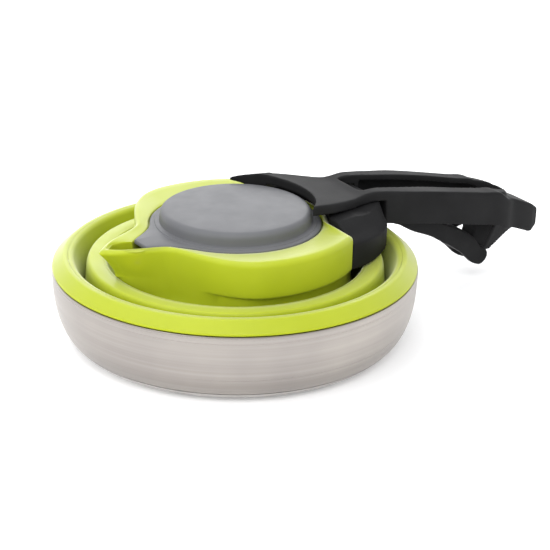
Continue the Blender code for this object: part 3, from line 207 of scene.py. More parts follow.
def brushedPotSteel():
    material, tree, shader = newFinish("brushedPotSteel", 1.0)
    fine = speckle(tree, 1.0, 4, (6, 6, 900))      # streaks run round the pot
    broad = speckle(tree, 1.0, 3, (2, 2, 130))
    streaks = tree.nodes.new("ShaderNodeMix")
    streaks.inputs["Factor"].default_value = 0.45
    tree.links.new(fine, streaks.inputs[2])
    tree.links.new(broad, streaks.inputs[3])
    colour = blendColours(tree, streaks.outputs[0], (0.334, 0.306, 0.283), (0.450, 0.416, 0.387))
    patches = speckle(tree, 17.0, 3, (1, 1, 0.8))
    clouds = blendColours(tree, patches, (0.84, 0.84, 0.85), (1.0, 1.0, 0.99), 0.36, 0.62)
    clouded = tree.nodes.new("ShaderNodeMix")
    clouded.data_type = "RGBA"
    clouded.blend_type = "MULTIPLY"
    clouded.inputs["Factor"].default_value = 1.0
    tree.links.new(colour, clouded.inputs[6])
    tree.links.new(clouds, clouded.inputs[7])
    tree.links.new(clouded.outputs[2], shader.inputs["Base Color"])
    roughnessBy(tree, shader, fine, 0.26, 0.40)
    setSockets(shader, {"Anisotropic": 0.5})
    grain(tree, shader, fine, 0.10, 0.0002)
    return material


def brushedBaseSteel():
    material, tree, shader = newFinish("brushedBaseSteel", 1.0)
    fine = speckle(tree, 1.0, 4, (5, 5, 1300))
    marks = speckle(tree, 55.0, 5)      # faint marks from standing on a hob
    colourBy(tree, shader, marks, (0.47, 0.45, 0.43), (0.55, 0.53, 0.51))
    roughnessBy(tree, shader, fine, 0.28, 0.44)
    grain(tree, shader, fine, 0.12, 0.0002)
    return material


def brightSteel():
    material, tree, shader = newFinish("brightSteel", 1.0)
    wear = speckle(tree, 260.0, 4)
    colourBy(tree, shader, wear, (0.55, 0.55, 0.55), (0.74, 0.74, 0.73))
    roughnessBy(tree, shader, wear, 0.18, 0.32)
    return material


def castAluminium():
    material, tree, shader = newFinish("castAluminium", 1.0)
    wear = speckle(tree, 180.0, 4)
    colourBy(tree, shader, wear, (0.58, 0.59, 0.60), (0.74, 0.75, 0.76))
    roughnessBy(tree, shader, wear, 0.38, 0.52)
    return material


def limeSilicone():
    material, tree, shader = newFinish("limeSilicone")
    colourBy(tree, shader, speckle(tree, 26.0), (0.346, 0.404, 0.013), (0.382, 0.438, 0.018))
    roughnessBy(tree, shader, speckle(tree, 90.0, 4), 0.38, 0.50)
    setSockets(shader, {
        "Subsurface Weight": 0.30, "Subsurface Radius": (1.0, 0.9, 0.15), "Subsurface Scale": 0.0045,
        "Sheen Roughness": 0.38, "Sheen Tint": (1.0, 1.0, 0.88, 1),
    })
    facing = tree.nodes.new("ShaderNodeTexCoord")           # painted highlight: what faces up gets more sheen and specular than the walls, so tops look paler as if lit from above
    upward = tree.nodes.new("ShaderNodeSeparateXYZ")
    tree.links.new(facing.outputs["Normal"], upward.inputs[0])
    for socket, onWalls, onTops in (("Sheen Weight", 0.08, 0.84), ("Specular IOR Level", 0.12, 0.26)):
        paintedTopSheen = spread(tree, upward.outputs["Z"], onWalls, onTops, 0.10, 0.72)
        tree.links.new(paintedTopSheen, shader.inputs[socket])
    grain(tree, shader, speckle(tree, 1500.0, 2), 0.06, 0.00012)
    return material


def clearSilicone():
    material, tree, shader = newFinish("clearSilicone")
    colourBy(tree, shader, speckle(tree, 60.0), (0.60, 0.61, 0.58), (0.68, 0.69, 0.66))
    setSockets(shader, {"Roughness": 0.4, "Subsurface Weight": 0.3, "Subsurface Scale": 0.002})
    return material


def greyLidPlastic():
    material, tree, shader = newFinish("greyLidPlastic")
    colourBy(tree, shader, speckle(tree, 34.0), (0.116, 0.118, 0.125), (0.132, 0.134, 0.141))
    roughnessBy(tree, shader, speckle(tree, 140.0, 4), 0.42, 0.52)
    setSockets(shader, {"Specular IOR Level": 0.17})
    grain(tree, shader, speckle(tree, 1900.0, 2), 0.10, 0.00012)
    return material


def blackNylon():
    material, tree, shader = newFinish("blackNylon")
    broad = speckle(tree, 45.0, 4)
    colourBy(tree, shader, broad, (0.0140, 0.0140, 0.0144), (0.0200, 0.0200, 0.0205))
    roughnessBy(tree, shader, broad, 0.44, 0.54)
    setSockets(shader, {"Specular IOR Level": 0.03})
    grain(tree, shader, speckle(tree, 1300.0), 0.22, 0.00018)
    return material


potSteel = brushedPotSteel()
baseSteel = brushedBaseSteel()
screwSteel = brightSteel()
spreaderMetal = castAluminium()
lime = limeSilicone()
sealSilicone = clearSilicone()
lidGrey = greyLidPlastic()
nylon = blackNylon()
print("finishes: made")


# Points and outlines

def spaced(start, end, steps):
    return [start + (end - start) * i / steps for i in range(steps + 1)]


def shareOf(value, start, span):
    return min(max((value - start) / span, 0), 1)


def moved(point, direction, length):
    return (point[0] + direction[0] * length, point[1] + direction[1] * length)


def swung(x, y, turn):
    return (x * math.cos(turn) - y * math.sin(turn), x * math.sin(turn) + y * math.cos(turn))


def mirrored(half):
    return [(x, -y) for x, y in reversed(half)]


def eased(corners, steps=4):
    # rounds each (x, z, size) corner of an outline
    line = []
    count = len(corners)
    for i, (x, z, size) in enumerate(corners):
        here = Vector((x, z))
        if size <= 0:
            line.append((x, z))
            continue
        before = Vector(corners[i - 1][:2]) - here
        after = Vector(corners[(i + 1) % count][:2]) - here
        start = here + before.normalized() * min(size, before.length * 0.48)
        end = here + after.normalized() * min(size, after.length * 0.48)
        for t in spaced(0, 1, steps):
            point = start * (1 - t) ** 2 + here * 2 * t * (1 - t) + end * t ** 2
            line.append((point.x, point.y))
    return line


def arcOf(radius, start, end, steps):
    return [(radius * math.cos(turn), radius * math.sin(turn)) for turn in spaced(start, end, steps)]


def curveOf(start, startPull, endPull, end, steps):
    line = []
    for t in spaced(0, 1, steps):
        a, b, c, d = (1 - t) ** 3, 3 * t * (1 - t) ** 2, 3 * t ** 2 * (1 - t), t ** 3
        line.append((a * start[0] + b * startPull[0] + c * endPull[0] + d * end[0],
                     a * start[1] + b * startPull[1] + c * endPull[1] + d * end[1]))
    return line


def atLevel(outline, height):
    return [(x, y, height) for x, y in outline]


def mixed(first, second, share):
    return [tuple(p + (q - p) * share for p, q in zip(a, b)) for a, b in zip(first, second)]


def perColumn(first, second, shares):
    return [tuple(p + (q - p) * share for p, q in zip(a, b)) for a, b, share in zip(first, second, shares)]


def nearerOf(first, second):
    return [min(p, q, key=lambda c: math.hypot(*c)) for p, q in zip(first, second)]


def sameWay(outline, radius):
    # points on a circle in the directions of an outline's points
    return [(x * radius / math.hypot(x, y), y * radius / math.hypot(x, y)) for x, y in outline]


def smoothThrough(stations, x):
    # height of a smooth line through (x, height) stations
    if x <= stations[0][0]:
        return stations[0][1]
    if x >= stations[-1][0]:
        return stations[-1][1]
    i = max(k for k in range(len(stations) - 1) if stations[k][0] <= x)

    def slope(k):
        low = stations[max(k - 1, 0)]
        high = stations[min(k + 1, len(stations) - 1)]
        return (high[1] - low[1]) / (high[0] - low[0])

    span = stations[i + 1][0] - stations[i][0]
    t = (x - stations[i][0]) / span
    return ((2 * t ** 3 - 3 * t ** 2 + 1) * stations[i][1] + (t ** 3 - 2 * t ** 2 + t) * span * slope(i)
            + (3 * t ** 2 - 2 * t ** 3) * stations[i + 1][1] + (t ** 3 - t ** 2) * span * slope(i + 1))


# Ways of making a piece

mergeDistance = 0.000002


def nothingSelected():
    if bpy.context.object and bpy.context.object.mode != "OBJECT":
        bpy.ops.object.mode_set(mode="OBJECT")
    bpy.ops.object.select_all(action="DESELECT")


def pickOnly(thing):
    nothingSelected()
    thing.select_set(True)
    bpy.context.view_layer.objects.active = thing


def tidyMesh(thing):
    pickOnly(thing)
    bpy.ops.object.mode_set(mode="EDIT")
    bpy.ops.mesh.select_all(action="SELECT")
    bpy.ops.mesh.remove_doubles(threshold=mergeDistance)
    bpy.ops.mesh.fill_holes(sides=0)
    bpy.ops.mesh.select_all(action="SELECT")
    bpy.ops.mesh.normals_make_consistent(inside=False)
    bpy.ops.object.mode_set(mode="OBJECT")


def softShade(thing, angle=32):
    pickOnly(thing)
    bpy.ops.object.shade_smooth_by_angle(angle=math.radians(angle))


def applyStep(thing, kind, **values):
    pickOnly(thing)
    step = thing.modifiers.new(kind.lower(), kind)
    for name, value in values.items():
        setattr(step, name, value)
    bpy.ops.object.modifier_apply(modifier=step.name)


def cutWith(thing, tool, operation="DIFFERENCE"):
    applyStep(thing, "BOOLEAN", object=tool, operation=operation, solver="EXACT")
    bpy.data.objects.remove(tool, do_unlink=True)


def mould(thing, voxel):
    # softens every edge as a moulding has it
    applyStep(thing, "REMESH", mode="VOXEL", voxel_size=voxel, use_smooth_shade=True)
    applyStep(thing, "SMOOTH", factor=0.5, iterations=4)
    pickOnly(thing)
    bpy.ops.object.shade_smooth()


def coat(thing, material):
    thing.data.materials.clear()
    thing.data.materials.append(material)


def dress(thing, material, body, node):
    coat(thing, material)
    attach(thing, body)
    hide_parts(node)


def spun(name, outline, steps=224):
    # a vertex is extruded along the closed outline of (radius, height) points, then spun round the axis
    nothingSelected()
    start = outline[0]
    bpy.ops.mesh.primitive_plane_add(size=0.001, location=(0, 0, 0))
    thing = bpy.context.object
    thing.name = name
    bpy.ops.object.mode_set(mode="EDIT")
    bpy.ops.mesh.select_all(action="SELECT")
    bpy.ops.mesh.merge(type="CENTER")
    bpy.ops.transform.translate(value=(start[0], 0, start[1]))
    here = start
    for radius, height in outline[1:] + [start]:
        bpy.ops.mesh.extrude_vertices_move(
            TRANSFORM_OT_translate={"value": (radius - here[0], 0, height - here[1])})
        here = (radius, height)
    bpy.ops.mesh.select_all(action="SELECT")
    bpy.ops.mesh.remove_doubles(threshold=mergeDistance / 2)
    bpy.ops.mesh.select_all(action="SELECT")
    bpy.ops.mesh.spin(steps=steps, angle=math.tau, center=(0, 0, 0), axis=(0, 0, 1))
    bpy.ops.object.mode_set(mode="OBJECT")
    tidyMesh(thing)
    softShade(thing)
    return thing


def lofted(name, rings, closed=False):
    # a grid is laid over the rings, its first and last columns meeting
    nothingSelected()
    rows = [list(ring) + [ring[0]] for ring in rings]
    if closed:
        rows.append(rows[0])
    bpy.ops.mesh.primitive_grid_add(x_subdivisions=len(rows[0]) - 1, y_subdivisions=len(rows) - 1, size=0.1)
    thing = bpy.context.object
    thing.name = name
    places = [point for row in rows for point in row]
    if len(places) != len(thing.data.vertices):
        raise ValueError("the grid has another size than the rings of " + name)
    for vertex, place in zip(thing.data.vertices, places):
        vertex.co = place
    tidyMesh(thing)
    return thing


def slab(name, outline, low, high):
    return lofted(name, [atLevel(outline, low), atLevel(outline, high)])


def sideSlab(name, outline, half):
    return lofted(name, [[(x, y, z) for x, z in outline] for y in (-half, half)])


def roundBar(name, radius, start, end, steps=32):
    nothingSelected()
    start, end = Vector(start), Vector(end)
    along = end - start
    bpy.ops.mesh.primitive_cylinder_add(
        vertices=steps, radius=radius, depth=along.length, location=(start + end) / 2)
    thing = bpy.context.object
    thing.name = name
    thing.rotation_euler = along.to_track_quat("Z", "Y").to_euler()
    bpy.ops.object.transform_apply(location=True, rotation=True, scale=True)
    return thing


# Steel pot

pot = {
    "radius": 0.0925, "floorRadius": 0.0726, "seam": 0.038, "wall": 0.0008,
    "lipRadius": 0.0876, "lipGap": 0.00015, "lipRound": 0.0006, "lipInside": 0.0011, "lipEdge": 0.0002,
    "capHeight": 0.0055, "capStep": 0.001, "potFloor": 0.0033, "capWall": 0.0007,
    "wallFullness": 2.64, "floorFullness": 2.51,
    "grooves": (0.006, 0.016, 0.017, 0.036, 0.037, 0.060, 0.061), "grooveHalf": 0.0004, "grooveDepth": 0.0002,
}


def bowlPoint(turn, depth):
    def raw(t):
        outwards = math.cos(t) ** (2 / pot["wallFullness"])
        downwards = math.sin(t) ** (2 / pot["floorFullness"])
        return Vector((pot["floorRadius"] + (pot["radius"] - pot["floorRadius"]) * outwards,
                       pot["seam"] * (1 - downwards)))
    nudge = 0.01
    along = raw(min(turn + nudge, math.pi / 2 - nudge)) - raw(max(turn - nudge, nudge))
    if turn < nudge:
        along = Vector((0, -1))
    return raw(turn) + Vector((along.y, -along.x)).normalized() * depth


def turnAt(height, depth):
    halvings = 40
    low, high = 0.0, math.pi / 2
    for i in range(halvings):
        middle = (low + high) / 2
        if bowlPoint(middle, depth).y > height:
            low = middle
        else:
            high = middle
    return low


def bowlLine(top, bottom, depth, steps):
    turns = spaced(turnAt(top, depth), turnAt(bottom, depth), steps)
    return [tuple(bowlPoint(turn, depth)) for turn in turns]


def makePot():
    radius, wall, floor, cap = pot["radius"], pot["wall"], pot["potFloor"], pot["capHeight"]
    lip, edge = pot["lipRadius"], pot["lipEdge"]
    lipTop = pot["seam"] - pot["lipGap"]
    lipLow = lipTop - wall
    underCap = cap - 0.0003
    outside = bowlLine(lipTop - pot["lipRound"], cap, 0, 34)
    outside += bowlLine(underCap, floor, pot["capStep"], 8)
    inside = bowlLine(lipTop - pot["lipInside"], cap, wall, 30)
    inside += bowlLine(underCap, floor + wall, pot["capStep"] + wall, 8)
    outline = [(lip, lipTop), (radius - wall, lipTop), (radius - edge, lipTop - edge)]
    outline += outside + [(0, floor), (0, floor + wall)]
    outline += list(reversed(inside)) + [(radius - wall - pot["lipRound"], lipLow), (lip, lipLow)]
    dress(spun("steelPot", outline), potSteel, "base", "base_pot")


def makeBaseCap():
    wall, capTop = pot["capWall"], pot["capHeight"] - 0.0004
    outside = bowlLine(capTop, 0, 0, 14)
    edge = outside[-1][0]
    underside = []
    for inwards in pot["grooves"]:
        groove, half = edge - inwards, pot["grooveHalf"]
        underside += [(groove + half, 0), (groove, pot["grooveDepth"]), (groove - half, 0)]
    inside = bowlLine(capTop, wall, wall, 12)
    outline = outside + underside + [(0, 0), (0, wall)] + list(reversed(inside))
    dress(spun("baseCap", outline), baseSteel, "base", "base_cap")


makePot()
makeBaseCap()
print("pot: made")


# Silicone body below the top

body = {
    "crestTop": 0.0439, "crestOuter": 0.0869, "crestInner": 0.0843,
    "ringRadius": 0.0769, "ringTop": 0.0417, "ringOuter": 0.0751, "ringInner": 0.0665,
    "lowerTrough": 0.0195, "upperTrough": 0.0192, "neck": 0.0599, "wall": 0.0018, "gap": 0.0001,
    "foldCrown": (0.0032, 0.0026), "foldLean": 0.0024,
}
# the hem lies on the pot's lip, which the slot holds, and the skirt hangs inside the pot
collar = {
    "hem": 0.0922, "hemGap": 0.00015, "hemRise": 0.0012, "slotInner": 0.0873, "slotBottom": 0.0367,
    "skirtInner": 0.0849, "skirtOuter": 0.0894, "skirtTop": 0.0399, "skirtBottom": 0.0338,
}


def makeCollar():
    seam = pot["seam"]
    seat = seam + collar["hemGap"]
    hem, slot = collar["hem"], collar["slotInner"]
    outer, inner, crest = body["crestOuter"], body["crestInner"], body["crestTop"]
    skirtIn, skirtOut = collar["skirtInner"], collar["skirtOuter"]
    corners = [
        (slot, seat, 0), (hem, seat, 0.0003), (hem - 0.0001, seam + collar["hemRise"], 0.0006),
        (outer + 0.0003, crest - 0.0006, 0.0010), (outer - 0.0006, crest, 0.0007),
        (inner + 0.0004, crest, 0), (inner, crest - 0.0001, 0), (inner, collar["skirtTop"], 0),
        (skirtIn, collar["skirtTop"], 0), (skirtIn, collar["skirtBottom"], 0),
        (skirtOut, collar["skirtBottom"], 0.0006), (skirtOut + 0.0006, collar["slotBottom"] - 0.0001, 0.0004),
        (slot, collar["slotBottom"], 0),
    ]
    dress(spun("siliconeCollar", eased(corners)), lime, "base", "base_collar")


def makeMiddleRing():
    outer, inner, crest, wall = body["ringOuter"], body["ringInner"], body["ringTop"], body["wall"]
    radius, trough = body["ringRadius"], body["lowerTrough"]
    lipLow, under = crest - 0.003, crest - wall
    corners = [
        (radius, trough, 0), (outer, crest - 0.0028, 0.0016), (outer - 0.0012, crest - 0.0002, 0.0012),
        (inner + 0.0022, crest - 0.0001, 0.0014), (inner, crest - 0.0005, 0), (inner, lipLow, 0),
        (inner + wall, lipLow, 0), (inner + 2 * wall, under, 0.0008), (outer - 2 * wall, under, 0.0008),
        (outer - wall, lipLow, 0), (radius - wall, trough, 0),
    ]
    dress(spun("siliconeRing", eased(corners)), lime, "ring", "middle_ring")


def makeFold(name, node, crest, top, hinge, bottom, crown=(0.0017, 0.0016), lean=0.0):
    # the fold turns inside out as the kettle rises
    middle = (crest + hinge) / 2
    inner, shoulder = crest - crown[0], top - crown[1]
    outside = curveOf((crest, top), (crest - 0.0006 - lean, top - 0.008),
                      (middle + 0.0012, bottom + 0.009), (hinge + 0.0017, bottom + 0.0012), 18)
    inside = curveOf((hinge, bottom + 0.0018), (hinge + 0.0002, bottom + 0.008),
                     (inner - 0.0007 - lean, shoulder - 0.0084), (inner, shoulder), 18)
    rounded = curveOf((inner, shoulder), (inner + crown[0] * 0.15, top - crown[1] * 0.38),
                      (crest - crown[0] * 0.53, top), (crest, top), 8)[1:-1]
    outline = outside + [(hinge + 0.0012, bottom), (hinge, bottom)] + inside + rounded
    fold = spun(name, outline, 192)
    coat(fold, lime)
    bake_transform(fold)
    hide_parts(node)


makeCollar()
makeMiddleRing()
makeFold("lowerFold", "lower_fold",
         body["crestInner"] - body["gap"], body["crestTop"] - body["gap"],
         body["ringRadius"] + body["gap"], body["lowerTrough"], body["foldCrown"], body["foldLean"])
makeFold("upperFold", "upper_fold",
         body["ringInner"] - body["gap"], body["ringTop"] - 4 * body["gap"],
         body["neck"] + body["gap"], body["upperTrough"])
print("silicone body: made")


# Silicone top with its spout

top = {
    "radius": 0.062, "height": 0.061, "mouth": 0.0592, "brimBottom": 0.0424, "brimRound": 0.0012,
    "edgeRound": 0.0028, "lipRound": 0.0018, "lipFrom": 0.032, "lipSpan": 0.024,
    "wall": 0.0024, "plate": 0.0545, "recess": 0.0439, "recessFloor": 0.0571, "bore": 0.0386,
    "reach": 0.0748, "footReach": 0.0668, "clearReach": 0.0650, "innerReach": 0.064,
    "nose": 0.0024, "drop": 0.0039, "lipEase": 0.0005, "easeAt": 0.040, "easeSpan": 0.028,
    "pinchBack": 0.0465, "pinchHalf": 0.0192, "shoulder": math.radians(104),
    "straightFrom": 118, "straightSpan": 18,        # degrees round, where the wall runs straight down
    "seatFront": 0.0384, "seatCollar": 0.0465, "tabTurn": math.radians(5.5),
}
# steps along each stretch of half the outline, and the points on the flat that faces the bracket
planSteps = {"collar": 8, "round": 24, "side": 16, "nose": 4}
flatShares = (0.35, 0.7)
beforeSpout = planSteps["collar"] + 1 + len(flatShares) + planSteps["round"] + 1     # points


def topPlan(reach, shrink=0.0):
    # round, drawn in beside the spout, and cut back for the bracket
    radius = top["radius"] - shrink
    front = top["seatFront"] - shrink
    seat = top["seatCollar"] - shrink
    tip = shrink * 1.8 - reach
    nose = max(top["nose"] - shrink * 0.12, 0.0008)
    corner = math.acos(front / radius)
    turn = top["shoulder"]
    shoulder = (radius * math.cos(turn), radius * math.sin(turn))
    along = (-math.sin(turn), math.cos(turn))
    pinch = (shrink * 0.55 - top["pinchBack"], top["pinchHalf"] - shrink * 0.83)
    beside = (tip + nose * 0.75, nose)
    pull = top["radius"] / 5
    half = arcOf(seat, 0, math.acos(front / seat), planSteps["collar"])
    start, end = half[-1][1], radius * math.sin(corner)
    half += [(front, start + (end - start) * share) for share in flatShares]
    half += arcOf(radius, corner, turn, planSteps["round"])
    half += curveOf(shoulder, moved(shoulder, along, pull * 1.75),
                    moved(pinch, (0.43, 0.68), pull), pinch, planSteps["side"])[1:]
    half += curveOf(pinch, moved(pinch, (-0.44, -0.50), pull),
                    (tip + pull * 0.65, nose + pull * 0.67 - shrink / 2), beside, planSteps["side"])[1:]
    half += curveOf(beside, (tip + nose * 0.25, nose * 0.72),
                    (tip, nose * 0.4), (tip, 0), planSteps["nose"])[1:]
    return half + mirrored(half[1:-1])


# the lid's recess, the pocket for its tab, and the spout's channel
opening = {
    "tabRoot": math.radians(150), "tabBack": 0.0568, "tabHalf": 0.0062, "tabPull": 0.00864,
    "reach": 0.0696, "endRound": (0.0008, 0.0013), "edgeSlope": 0.012, "edgeRound": 0.0007,
    "steps": (16, 9, 8, 3), "channelFrom": 0.0452,
    # along and across, as shares of the edge's place, and the height
    "channel": ((0.995, 0.93, 0.0515), (0.970, 0.86, 0.0482), (0.930, 0.84, 0.0458),
                (0.890, 0.82, 0.0440), (0.850, 0.82, 0.0424)),
}


def mouthPlan(grow=0.0):
    # its points are in step with topPlan's
    guide = topPlan(top["reach"])
    count = len(guide) // 2 + 1
    radius = top["recess"] + grow
    back, tabSide, pull = opening["tabBack"], opening["tabHalf"] + grow, opening["tabPull"]
    tip = -opening["reach"] - grow
    end = (tip + opening["endRound"][0], opening["endRound"][1] + grow * 0.5)
    roundSteps, tabSteps, lipSteps, endSteps = opening["steps"]

    def side(sign):
        turn = top["tabTurn"] * sign
        root = opening["tabRoot"] + turn
        line = sameWay(guide[:beforeSpout], radius)
        line += arcOf(radius, math.atan2(line[-1][1], line[-1][0]), root, roundSteps)[1:]
        corner = swung(-back - grow, tabSide, turn)
        away = swung(pull - back, tabSide + pull * 0.65, turn)
        line += curveOf(line[-1], moved(line[-1], (-math.sin(root), math.cos(root)), pull),
                        away, corner, tabSteps)[1:]
        line += curveOf(corner, (corner[0] - 0.0035, corner[1] + 0.0024),
                        (tip + 0.0046, 0.0068 + grow), end, lipSteps)[1:]
        line += curveOf(end, (tip + 0.0002, 0.0008), (tip, 0.0004), (tip, 0), endSteps)[1:]
        return line

    upper, lower = side(1), side(-1)
    if len(upper) != count:
        raise ValueError("the mouth has %d points and the top %d" % (len(upper), count))
    return upper + mirrored(lower[1:-1])


def lipFall(x):
    start = top["pinchBack"] * 0.8
    return top["drop"] * shareOf(-x, start, top["reach"] - start)


def edgeFall(x):
    # the outer edge also dips beside the lid
    off = min(abs(-x - top["easeAt"]) / top["easeSpan"], 1)
    return lipFall(x) + top["lipEase"] * (1 - off ** 2) ** 2


def mouthTop(x, y):
    share = shareOf(math.hypot(x, y) - top["recess"], 0, opening["edgeSlope"])
    return top["mouth"] + (top["height"] - opening["edgeRound"] - top["mouth"]) * share - lipFall(x)


def neckRings(rim, deep, inwards):
    # from the round hinge below up to the brim, which has the outline of the top
    hinge, brim = body["upperTrough"], top["brimBottom"] - 0.0003
    circle = sameWay(rim, body["neck"] - inwards)
    slim = sameWay(rim, body["neck"] - 0.0011 - inwards)
    tucked = topPlan(top["footReach"], 0.0022 + inwards)
    room = sameWay(rim, top["clearReach"] - inwards)            # the fold's wall stands outside this
    wall = nearerOf(topPlan(top["footReach"], inwards), room)
    plain = [near if p[0] < 0 else q for near, p, q in zip(nearerOf(tucked, slim), tucked, slim)]
    high = perColumn(plain, wall, deep)
    return [atLevel(mixed(circle, high, min(share * 1.7, 1) ** 1.4), hinge + (brim - hinge) * share)
            for share in (0, 0.1, 0.2, 0.3, 0.4, 0.5, 0.6, 0.8, 1)]


def brimRings(foot, deep):
    rings = []
    for turn in spaced(0, math.pi / 2, 3):
        plan = topPlan(top["footReach"], top["brimRound"] * (1 - math.sin(turn)))
        height = top["brimBottom"] + top["brimRound"] * (1 - math.cos(turn))
        rings.append(atLevel(perColumn(plan, foot, deep), height))
    return rings


def wallRings(rim, foot):
    # the leaning wall and the rounding of its edge, which is smaller along the spout
    lipShare = [shareOf(-x, top["lipFrom"], top["lipSpan"]) for x, y in rim]
    rounding = [top["edgeRound"] + (top["lipRound"] - top["edgeRound"]) * share for share in lipShare]
    wallTop = [top["height"] - one for one in rounding]
    low = top["brimBottom"] + top["brimRound"]
    rings = []
    for share in (0.15, 0.3, 0.45, 0.6, 0.75, 0.9, 1.0):
        plan = mixed(foot, rim, share ** 1.25)
        rings.append([(x, y, low + (high - low) * share - edgeFall(x) * share)
                      for (x, y), high in zip(plan, wallTop)])
    for turn in spaced(0, math.pi / 2, 6)[1:]:
        inset = 1 - math.cos(turn)
        plan = perColumn(topPlan(top["reach"], top["edgeRound"] * inset),
                         topPlan(top["reach"], top["lipRound"] * inset), lipShare)
        rings.append([(x, y, high + one * math.sin(turn) - edgeFall(x))
                      for (x, y), high, one in zip(plan, wallTop, rounding)])
    return rings


def lipRings(outerEdge):
    innerEdge = [(x, y, mouthTop(x, y)) for x, y in mouthPlan(opening["edgeRound"])]
    rings = [mixed(outerEdge, innerEdge, share) for share in (0.2, 0.4, 0.6, 0.8, 1.0)]
    for grow, below in ((0.0002, 0.0002), (0, 0.0008)):
        rings.append([(x, y, mouthTop(x, y) - below) for x, y in mouthPlan(grow)])
    return rings


def insideRings():
    # the recess, its bore and the hollow under the plate, and in the spout the channel
    edge = mouthPlan()
    bore = sameWay(edge, top["bore"])
    foot = topPlan(top["innerReach"], top["wall"])
    wall = mixed(foot, topPlan(top["reach"], top["wall"]), 0.5)
    plain = [
        atLevel(edge, top["recessFloor"]), atLevel(bore, top["recessFloor"]), atLevel(bore, top["plate"]),
        atLevel(wall, top["plate"]), atLevel(foot, top["brimBottom"] + top["wall"]),
    ]
    channel = [[(x * along, y * across, height) for x, y in edge]
               for along, across, height in opening["channel"]]
    inSpout = [x < -opening["channelFrom"] for x, y in edge]
    return [[narrow if spout else wide for wide, narrow, spout in zip(*rows, inSpout)]
            for rows in zip(plain, channel)]


def makeTop():
    rim = topPlan(top["reach"])
    foot = topPlan(top["footReach"])
    turns = [math.degrees(math.atan2(abs(y), x)) for x, y in rim]
    deep = [shareOf(turn, top["straightFrom"], top["straightSpan"]) for turn in turns]
    rings = neckRings(rim, deep, 0)
    rings += brimRings(foot, deep)
    rings += wallRings(rim, foot)
    rings += lipRings(rings[-1])
    rings += insideRings()
    rings += list(reversed(neckRings(rim, deep, body["wall"])))
    shell = lofted("siliconeTop", rings, closed=True)
    softShade(shell, 50)
    dress(shell, lime, "top", "top_section")


makeTop()
print("silicone top: made")


# Lid

lid = {
    "radius": 0.0432, "floor": 0.0574, "flangeTop": 0.0595, "dome": 0.0383, "domeRise": 0.0076,
    "shoulder": 0.0032, "crown": 0.0005, "wall": 0.002, "tabEnd": 0.0560, "tabHalf": 0.0058,
    # out from the dome and up from the flange, in the groove round the dome's foot
    "domeFoot": ((0.0026, 0.0001), (0.0023, 0.0005), (0.0018, 0.0006), (0.0008, 0.0006),
                 (0.0002, 0.0008), (0, 0.0016), (-0.0001, 0.0030)),
}


def lidPlan(grow=0.0):
    radius = lid["radius"] + grow
    turn = opening["tabRoot"]
    root = (radius * math.cos(turn), radius * math.sin(turn))
    along = (-math.sin(turn), math.cos(turn))
    pull = lid["radius"] / 5
    end, side = -lid["tabEnd"] - grow, lid["tabHalf"] + grow
    half = arcOf(radius, 0, turn, 52)
    half += curveOf(root, moved(root, along, pull), (end + pull, side + pull * 0.65), (end, side), 16)[1:]
    half[-1] = (end + 0.0004, side)
    half += curveOf(half[-1], (end + 0.0001, side - 0.0001),
                    (end, side - 0.0003), (end, side - 0.0006), 4)[1:]
    half += [(end - 0.0001, side / 2), (end - 0.0001, 0)]
    return [swung(x, y, top["tabTurn"]) for x, y in half + mirrored(half[1:-1])]


def makeLid():
    edge = lidPlan()
    foot, floor, dome, shoulder = lid["flangeTop"], lid["floor"], lid["dome"], lid["shoulder"]
    crownTop = foot + lid["domeRise"]
    inner = dome - lid["wall"]
    middle = 0.00001

    def roundAt(radius, height):
        return atLevel(sameWay(edge, radius), height)

    rings = [
        roundAt(middle, crownTop - 0.002), roundAt(inner - shoulder * 0.5, crownTop - 0.0025),
        roundAt(inner, foot + 0.0004), roundAt(inner, floor),
    ]
    for grow, height in ((-0.0004, floor), (-0.0001, floor + 0.0001), (0, floor + 0.0005),
                         (0, foot - 0.0006), (-0.0002, foot - 0.0002), (-0.0006, foot)):
        rings.append(atLevel(lidPlan(grow), height))
    out, up = lid["domeFoot"][0]
    rings.append(atLevel(mixed(edge, sameWay(edge, dome + out), 0.7), foot + up))
    rings += [roundAt(dome + out, foot + up) for out, up in lid["domeFoot"]]
    start = crownTop - lid["crown"] - shoulder
    for turn in spaced(0, math.pi / 2, 6):
        radius = dome - 0.0002 - shoulder * (1 - math.cos(turn))
        rings.append(roundAt(radius, start + shoulder * math.sin(turn)))
    for share, rise in ((0.8, 0.35), (0.6, 0.62), (0.4, 0.82), (0.2, 0.95), (0.05, 1.0)):
        rings.append(roundAt(dome * share, crownTop - lid["crown"] * (1 - rise)))
    rings.append(roundAt(middle, crownTop))
    cover = lofted("lidCover", rings)
    softShade(cover, 40)
    dress(cover, lidGrey, "lid", "lid_cover")


makeLid()
print("lid: made")


# Grip

grip = {
    "reach": 0.1925, "deckHalf": 0.0295, "deckTop": 0.0716, "deckWall": 0.005, "depth": 0.0176, "wall": 0.003,
    "crescent": 0.0398, "slotFront": 0.0675, "slotBack": 0.1672, "slotHalf": 0.011, "tailBlock": 0.024,
    "rimEnd": 0.1688, "rimRadius": 0.016, "rimTop": 0.0124, "rimRise": 0.235, "rimRound": 0.0014,
    "rimSquareness": 0.75, "earFront": 0.150, "earBack": 0.169, "earLow": 0.0156, "earTip": 0.003,
    "hornFall": 0.0024, "sink": 0.0003, "voxel": 0.00055,
}
deckRise = grip["deckTop"] - pot["seam"]
